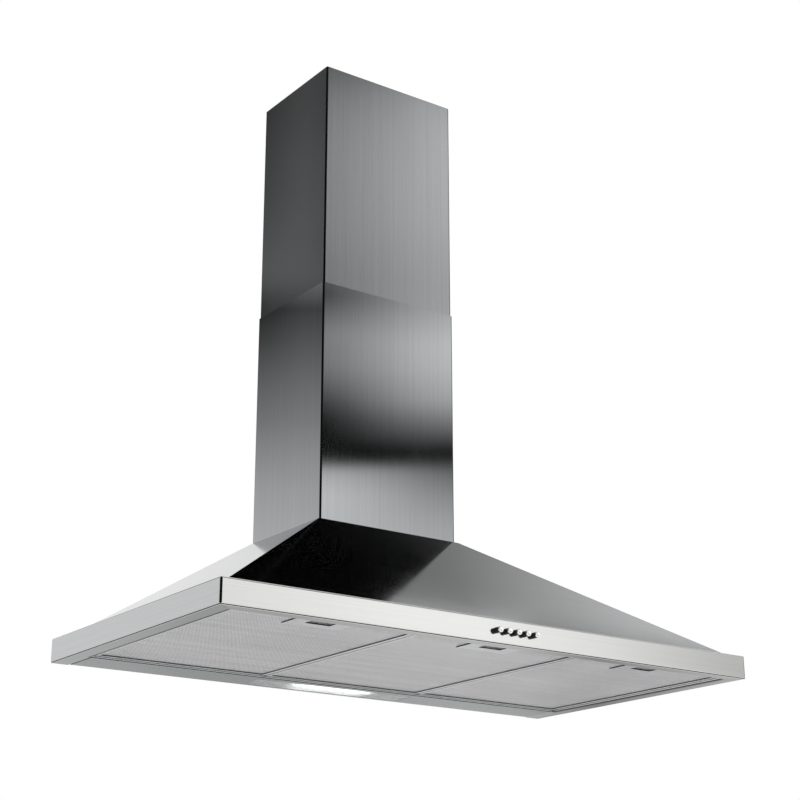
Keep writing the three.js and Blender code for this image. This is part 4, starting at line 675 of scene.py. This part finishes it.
def hiddenSteel():
    material, tree, shader, place = newMaterial("hiddenSteel", 0.4, 1.0)
    flakes = addNode(tree, "TexVoronoi", values=zincCoat["flakes"])
    tree.links.new(place, flakes.inputs["Vector"])
    flake = addNode(tree, "SeparateColor")
    tree.links.new(flakes.outputs["Color"], flake.inputs[0])
    film = placeEffect(tree, "wipedFilm", place, zincCoat["film"])
    colour = blendColours(tree, flake.outputs[0], *zincCoat["tones"])
    tree.links.new(colour, shader.inputs["Base Color"])
    rough = addNode(tree, "MapRange", values=zincCoat["rough"])
    tree.links.new(flake.outputs[1], rough.inputs["Value"])
    tree.links.new(maths(tree, "ADD", rough.outputs["Result"], film.outputs["Film"]), shader.inputs["Roughness"])
    return material


# The filters' facing: perforated sheet over the dark wire pack behind it.
filterFacing = {"holes": {"Pitch": 2.1 * mm, "Hole": 0.27, "Bump": 0.35}, "holeTone": (0.22, 0.215, 0.225),
                "tones": ((0.66, 0.655, 0.665), (0.78, 0.775, 0.785)), "rough": 0.3, "holeRough": 0.3,
                "film": {"Amount": 0.1, "Size": 7.0}, "stretch": 0.02, "lines": {"Broad": 120.0}}


def filterMeshMetal():
    material, tree, shader, place = newMaterial("filterMeshMetal", 0.4, 1.0)
    holes = placeEffect(tree, "perforation", place, filterFacing["holes"])
    film = placeEffect(tree, "wipedFilm", place, filterFacing["film"])
    grain = squeezed(tree, place, (filterFacing["stretch"], 1, 1))
    lines = placeEffect(tree, "brushLines", grain, filterFacing["lines"])
    streaks = spread(tree, lines.outputs["Streaks"], 0.0, 1.0)
    plain = blendColours(tree, streaks, *filterFacing["tones"])
    pick = addNode(tree, "Mix", {"data_type": "RGBA"})
    pick.inputs["B"].default_value = (*filterFacing["holeTone"], 1)
    tree.links.new(holes.outputs["Hole"], pick.inputs["Factor"])
    tree.links.new(plain, pick.inputs["A"])
    tree.links.new(pick.outputs["Result"], shader.inputs["Base Color"])
    plainRough = maths(tree, "ADD", film.outputs["Film"], filterFacing["rough"])
    rough = maths(tree, "MULTIPLY_ADD", holes.outputs["Hole"], filterFacing["holeRough"], plainRough)
    tree.links.new(rough, shader.inputs["Roughness"])
    tree.links.new(holes.outputs["Normal"], shader.inputs["Normal"])
    return material


# The film on chrome and zinc also draws their tone a little towards this share of it.
chromeFilm = {"film": {"Amount": 0.06, "Size": 120.0}, "shade": 0.8}


def polishedChrome(name, tone, rough):
    material, tree, shader, place = newMaterial(name, rough, 1.0)
    film = placeEffect(tree, "wipedFilm", place, chromeFilm["film"])
    tree.links.new(maths(tree, "ADD", film.outputs["Film"], rough), shader.inputs["Roughness"])
    colour = blendColours(tree, film.outputs["Film"], tone, tuple(t * chromeFilm["shade"] for t in tone))
    tree.links.new(colour, shader.inputs["Base Color"])
    return material


# The frosted lens glows where the lamps stand behind it, with a spot for each.
lensGlow = {"pitch": 16.5 * mm, "ends": (48 * mm, 80 * mm), "spotRow": 0.2025, "spot": (2.0 * mm, 5.0 * mm),
            "glow": 0.34, "spotGlow": 1.6, "rows": (0.200, 0.236), "rearGlow": 0.25,
            "cellShift": 100.5}     # half a cell, and whole ones that keep the count above nought
lensBody = {"tones": ((0.74, 0.77, 0.77), (0.64, 0.67, 0.67)), "rough": 0.10,
            "film": {"Amount": 0.12, "Size": 14.0}}


def lensGlass():
    material, tree, shader, place = newMaterial(
        "lensGlass", 0.12, 0.0, {"Transmission Weight": 0.85, "IOR": 1.46, "Emission Color": (1, 1, 0.99, 1)})
    parts = addNode(tree, "SeparateXYZ")
    tree.links.new(place, parts.inputs[0])
    near = addNode(tree, "MapRange", {"interpolation_type": "SMOOTHSTEP"},
                   {"From Min": lensGlow["ends"][0], "From Max": lensGlow["ends"][1], "To Min": 1.0, "To Max": 0.0})
    tree.links.new(maths(tree, "ABSOLUTE", parts.outputs["X"]), near.inputs["Value"])
    cells = maths(tree, "MULTIPLY_ADD", parts.outputs["X"], 1 / lensGlow["pitch"], lensGlow["cellShift"])
    cell = maths(tree, "FRACT", cells)
    aside = maths(tree, "MULTIPLY", maths(tree, "SUBTRACT", cell, 0.5), lensGlow["pitch"])
    across = maths(tree, "SUBTRACT", parts.outputs["Y"], lensGlow["spotRow"])
    reach = maths(tree, "SQRT", maths(tree, "ADD", maths(tree, "MULTIPLY", aside, aside),
                                      maths(tree, "MULTIPLY", across, across)))
    spot = addNode(tree, "MapRange", {"interpolation_type": "SMOOTHSTEP"},
                   {"From Min": lensGlow["spot"][0], "From Max": lensGlow["spot"][1],
                    "To Min": lensGlow["spotGlow"], "To Max": lensGlow["glow"]})
    tree.links.new(reach, spot.inputs["Value"])
    fade = addNode(tree, "MapRange", values={"From Min": lensGlow["rows"][0], "From Max": lensGlow["rows"][1],
                                             "To Min": 1.0, "To Max": lensGlow["rearGlow"]})
    tree.links.new(parts.outputs["Y"], fade.inputs["Value"])
    glow = maths(tree, "MULTIPLY", maths(tree, "MULTIPLY", near.outputs["Result"], fade.outputs["Result"]),
                 spot.outputs["Result"])
    tree.links.new(glow, shader.inputs["Emission Strength"])
    film = placeEffect(tree, "wipedFilm", place, lensBody["film"])
    tree.links.new(maths(tree, "ADD", film.outputs["Film"], lensBody["rough"]), shader.inputs["Roughness"])
    colour = blendColours(tree, film.outputs["Film"], *lensBody["tones"])
    tree.links.new(colour, shader.inputs["Base Color"])
    return material


# White board lit by its own lamps: the chips that stand below it glow far brighter than the board.
ledLamp = {"chipFoot": 6.2 * mm, "boardGlow": (0.05, 0.052, 0.052), "chipGlow": (0.97, 0.99, 1.0), "power": 28.0,
           "tones": ((0.86, 0.86, 0.82), (0.93, 0.93, 0.90))}


def ledBoard():
    material, tree, shader, place = newMaterial("ledBoard", 0.4, 0.0, {"Emission Strength": ledLamp["power"]})
    skin = placeEffect(tree, "mouldSkin", place)
    colour = blendColours(tree, spread(tree, skin.outputs["Mottle"], 0.0, 1.0), *ledLamp["tones"])
    tree.links.new(colour, shader.inputs["Base Color"])
    parts = addNode(tree, "SeparateXYZ")
    tree.links.new(place, parts.inputs[0])
    isChip = maths(tree, "LESS_THAN", parts.outputs["Z"], ledLamp["chipFoot"])
    glow = blendColours(tree, isChip, ledLamp["boardGlow"], ledLamp["chipGlow"])
    tree.links.new(glow, shader.inputs["Emission Color"])
    return material


# Painted cast metal of the motor.
motorPaint = {"tones": ((0.16, 0.165, 0.17), (0.24, 0.245, 0.25)), "rough": (0.38, 0.55),
              "skin": {"Grain": 500.0, "Bump": 0.2}}


def motorMetal():
    material, tree, shader, place = newMaterial("motorMetal", 0.45, 0.7)
    skin = placeEffect(tree, "mouldSkin", place, motorPaint["skin"])
    colour = blendColours(tree, spread(tree, skin.outputs["Mottle"], 0.0, 1.0), *motorPaint["tones"])
    tree.links.new(colour, shader.inputs["Base Color"])
    tree.links.new(spread(tree, skin.outputs["Mottle"], *motorPaint["rough"]), shader.inputs["Roughness"])
    tree.links.new(skin.outputs["Normal"], shader.inputs["Normal"])
    return material


finishes = {name: brushedSteel(name) for name in steels}
finishes.update({name: mouldedPlastic(name) for name in plastics})
finishes.update({
    "hiddenSteel": hiddenSteel(),
    "filterMesh": filterMeshMetal(),
    "buttonChrome": polishedChrome("buttonChrome", (0.86, 0.86, 0.86), 0.05),
    "zincScrews": polishedChrome("zincScrews", (0.62, 0.63, 0.65), 0.22),
    "lensGlass": lensGlass(),
    "ledBoard": ledBoard(),
    "motorMetal": motorMetal(),
})
print("materials done:", len(finishes))


# Which record slot gets which finish
slotFinish = {
    "canopy_steel": "canopySteel",
    "cover_steel": "coverSteel",
    "panel_steel": "panelSteel",
    "underside_steel": "undersideSteel",
    "hidden_steel": "hiddenSteel",
    "filter_aluminium": "filterAluminium",
    "filter_mesh": "filterMesh",
    "button_chrome": "buttonChrome",
    "black_plastic": "blackPlastic",
    "grey_plastic": "greyPlastic",
    "white_plastic": "whitePlastic",
    "lamp_lens": "lensGlass",
    "led_board": "ledBoard",
    "motor_metal": "motorMetal",
    "zinc_screws": "zincScrews",
}

nodeFinish = {"upper_cover": "upperSteel", **{f"filter_catch_{i}": "catchAluminium" for i in (1, 2, 3)}}

# Rounds of the model are shaded smooth up to this angle in degrees, and its other edges stay sharp.
# A fold in a sheet turns 30 degrees a step, and the canopy's slopes meet its ledges at 31 or more.
smoothBends = {"angle": 32, "foldedSheetAngle": 30.5, "merge": 1e-6, "flatWeight": 100,
               "foldedSheets": ("canopy_shell", "front_panel", "rear_plate", "back_panel", "lower_cover",
                                "upper_cover")}


def makeSmoothBends():
    group = bpy.data.node_groups.new("smoothBends", "GeometryNodeTree")
    group.interface.new_socket("Geometry", in_out="INPUT", socket_type="NodeSocketGeometry")
    group.interface.new_socket("Angle", in_out="INPUT", socket_type="NodeSocketFloat")
    group.interface.new_socket("Geometry", in_out="OUTPUT", socket_type="NodeSocketGeometry")
    entry = group.nodes.new("NodeGroupInput")
    leave = group.nodes.new("NodeGroupOutput")
    merge = group.nodes.new("GeometryNodeMergeByDistance")
    merge.inputs["Distance"].default_value = smoothBends["merge"]
    drop = group.nodes.new("GeometryNodeRemoveAttribute")
    drop.inputs["Name"].default_value = "custom_normal"
    faces = group.nodes.new("GeometryNodeSetShadeSmooth")
    faces.domain = "FACE"
    angle = group.nodes.new("GeometryNodeInputMeshEdgeAngle")
    sharp = group.nodes.new("FunctionNodeCompare")
    sharp.data_type = "FLOAT"
    sharp.operation = "GREATER_THAN"
    edges = group.nodes.new("GeometryNodeSetShadeSmooth")
    edges.domain = "EDGE"
    edges.inputs["Shade Smooth"].default_value = False
    group.links.new(entry.outputs[0], drop.inputs["Geometry"])
    group.links.new(drop.outputs["Geometry"], merge.inputs["Geometry"])
    group.links.new(merge.outputs["Geometry"], faces.inputs["Geometry"])
    group.links.new(faces.outputs["Geometry"], edges.inputs["Geometry"])
    group.links.new(angle.outputs["Unsigned Angle"], sharp.inputs["A"])
    group.links.new(entry.outputs["Angle"], sharp.inputs["B"])
    group.links.new(sharp.outputs["Result"], edges.inputs["Selection"])
    group.links.new(edges.outputs["Geometry"], leave.inputs[0])
    return group


smoothGroup = makeSmoothBends()
angleInput = smoothGroup.interface.items_tree["Angle"].identifier
for row in frame["record"]["subparts"]:
    node = nodes[row["node"]]
    node.data.materials.clear()
    finish = nodeFinish.get(row["node"]) or slotFinish[row["material_slot"]]
    node.data.materials.append(finishes[finish])
    bends = node.modifiers.new("smoothBends", "NODES")
    bends.node_group = smoothGroup
    angle = smoothBends["foldedSheetAngle" if row["node"] in smoothBends["foldedSheets"] else "angle"]
    bends[angleInput] = math.radians(angle)
    flats = node.modifiers.new("flatFaces", "WEIGHTED_NORMAL")    # keeps the flats flat beside a bend
    flats.weight = smoothBends["flatWeight"]
    flats.keep_sharp = True


lathed = {"sides": 40, "smoothAngle": 40}     # turned pieces are shaded smooth up to this angle


# Turned piece: profile points are (distance behind the tip, radius), and its axis runs along Y.
def lathe(name, centre, profile, finish):
    sides = lathed["sides"]
    x, tip, z = centre
    mesh = bmesh.new()
    rings = []
    for behind, radius in profile:
        if radius == 0:
            rings.append([mesh.verts.new((x, tip + behind, z))])
            continue
        turns = [2 * math.pi * i / sides for i in range(sides)]
        rings.append([mesh.verts.new((x + radius * math.cos(t), tip + behind, z + radius * math.sin(t)))
                      for t in turns])
    for ring, following in zip(rings, rings[1:]):
        for i in range(sides):
            j = (i + 1) % sides
            corners = [ring[i % len(ring)], ring[j % len(ring)]]
            corners += [following[j % len(following)], following[i % len(following)]]
            mesh.faces.new(list(dict.fromkeys(corners)))     # an end point counts once
    bmesh.ops.recalc_face_normals(mesh, faces=mesh.faces)
    data = bpy.data.meshes.new(name)
    mesh.to_mesh(data)
    mesh.free()
    data.polygons.foreach_set("use_smooth", [True] * len(data.polygons))
    data.set_sharp_from_angle(angle=math.radians(lathed["smoothAngle"]))
    data.materials.append(finishes[finish])
    piece = bpy.data.objects.new(name, data)
    scene.collection.objects.link(piece)
    return piece


# Push buttons: a black barrel on its plunger, with a chromed cap dished at its face. The ring of
# the dish is given as shares of its depth and of the button's radius.
button = {"count": 5, "radius": 4.0 * mm, "capLength": 2.4 * mm, "groove": 0.4 * mm, "neckDepth": 0.8 * mm,
          "edge": 1.0 * mm, "edgeSteps": 5, "dish": 0.35 * mm, "dishRing": (0.6, 0.35), "flatRim": 1.3 * mm,
          "headLength": 17.8 * mm, "plunger": 2.2 * mm}


def addButton(number):
    node = f"button_{number}"
    low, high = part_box(node)
    centre = ((low[0] + high[0]) / 2, low[1], (low[2] + high[2]) / 2)
    radius, edge, capEnd = button["radius"], button["edge"], button["capLength"]
    turns = [math.pi / 2 * i / button["edgeSteps"] for i in range(button["edgeSteps"], -1, -1)]
    rounding = [(edge * (1 - math.sin(t)), radius - edge * (1 - math.cos(t))) for t in turns]
    dish, (ringDepth, ringRadius) = button["dish"], button["dishRing"]
    capProfile = [(dish, 0), (dish * ringDepth, radius * ringRadius), (0, radius - button["flatRim"]), *rounding,
                  (capEnd, radius), (capEnd, 0)]
    sleeveStart = capEnd + button["groove"]
    neck = radius - button["neckDepth"]
    headEnd, plunger, length = button["headLength"], button["plunger"], high[1] - low[1]
    sleeveProfile = [(capEnd, 0), (capEnd, neck), (sleeveStart, neck), (sleeveStart, radius),
                     (headEnd, radius), (headEnd, plunger), (length, plunger), (length, 0)]
    cap = lathe(f"buttonCap_{number}", centre, capProfile, "buttonChrome")
    sleeve = lathe(f"buttonSleeve_{number}", centre, sleeveProfile, "buttonSleeve")
    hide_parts(node)
    for piece in (cap, sleeve):
        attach(piece, nodes[node]["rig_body"])


for number in range(1, button["count"] + 1):
    addButton(number)
print("buttons done")
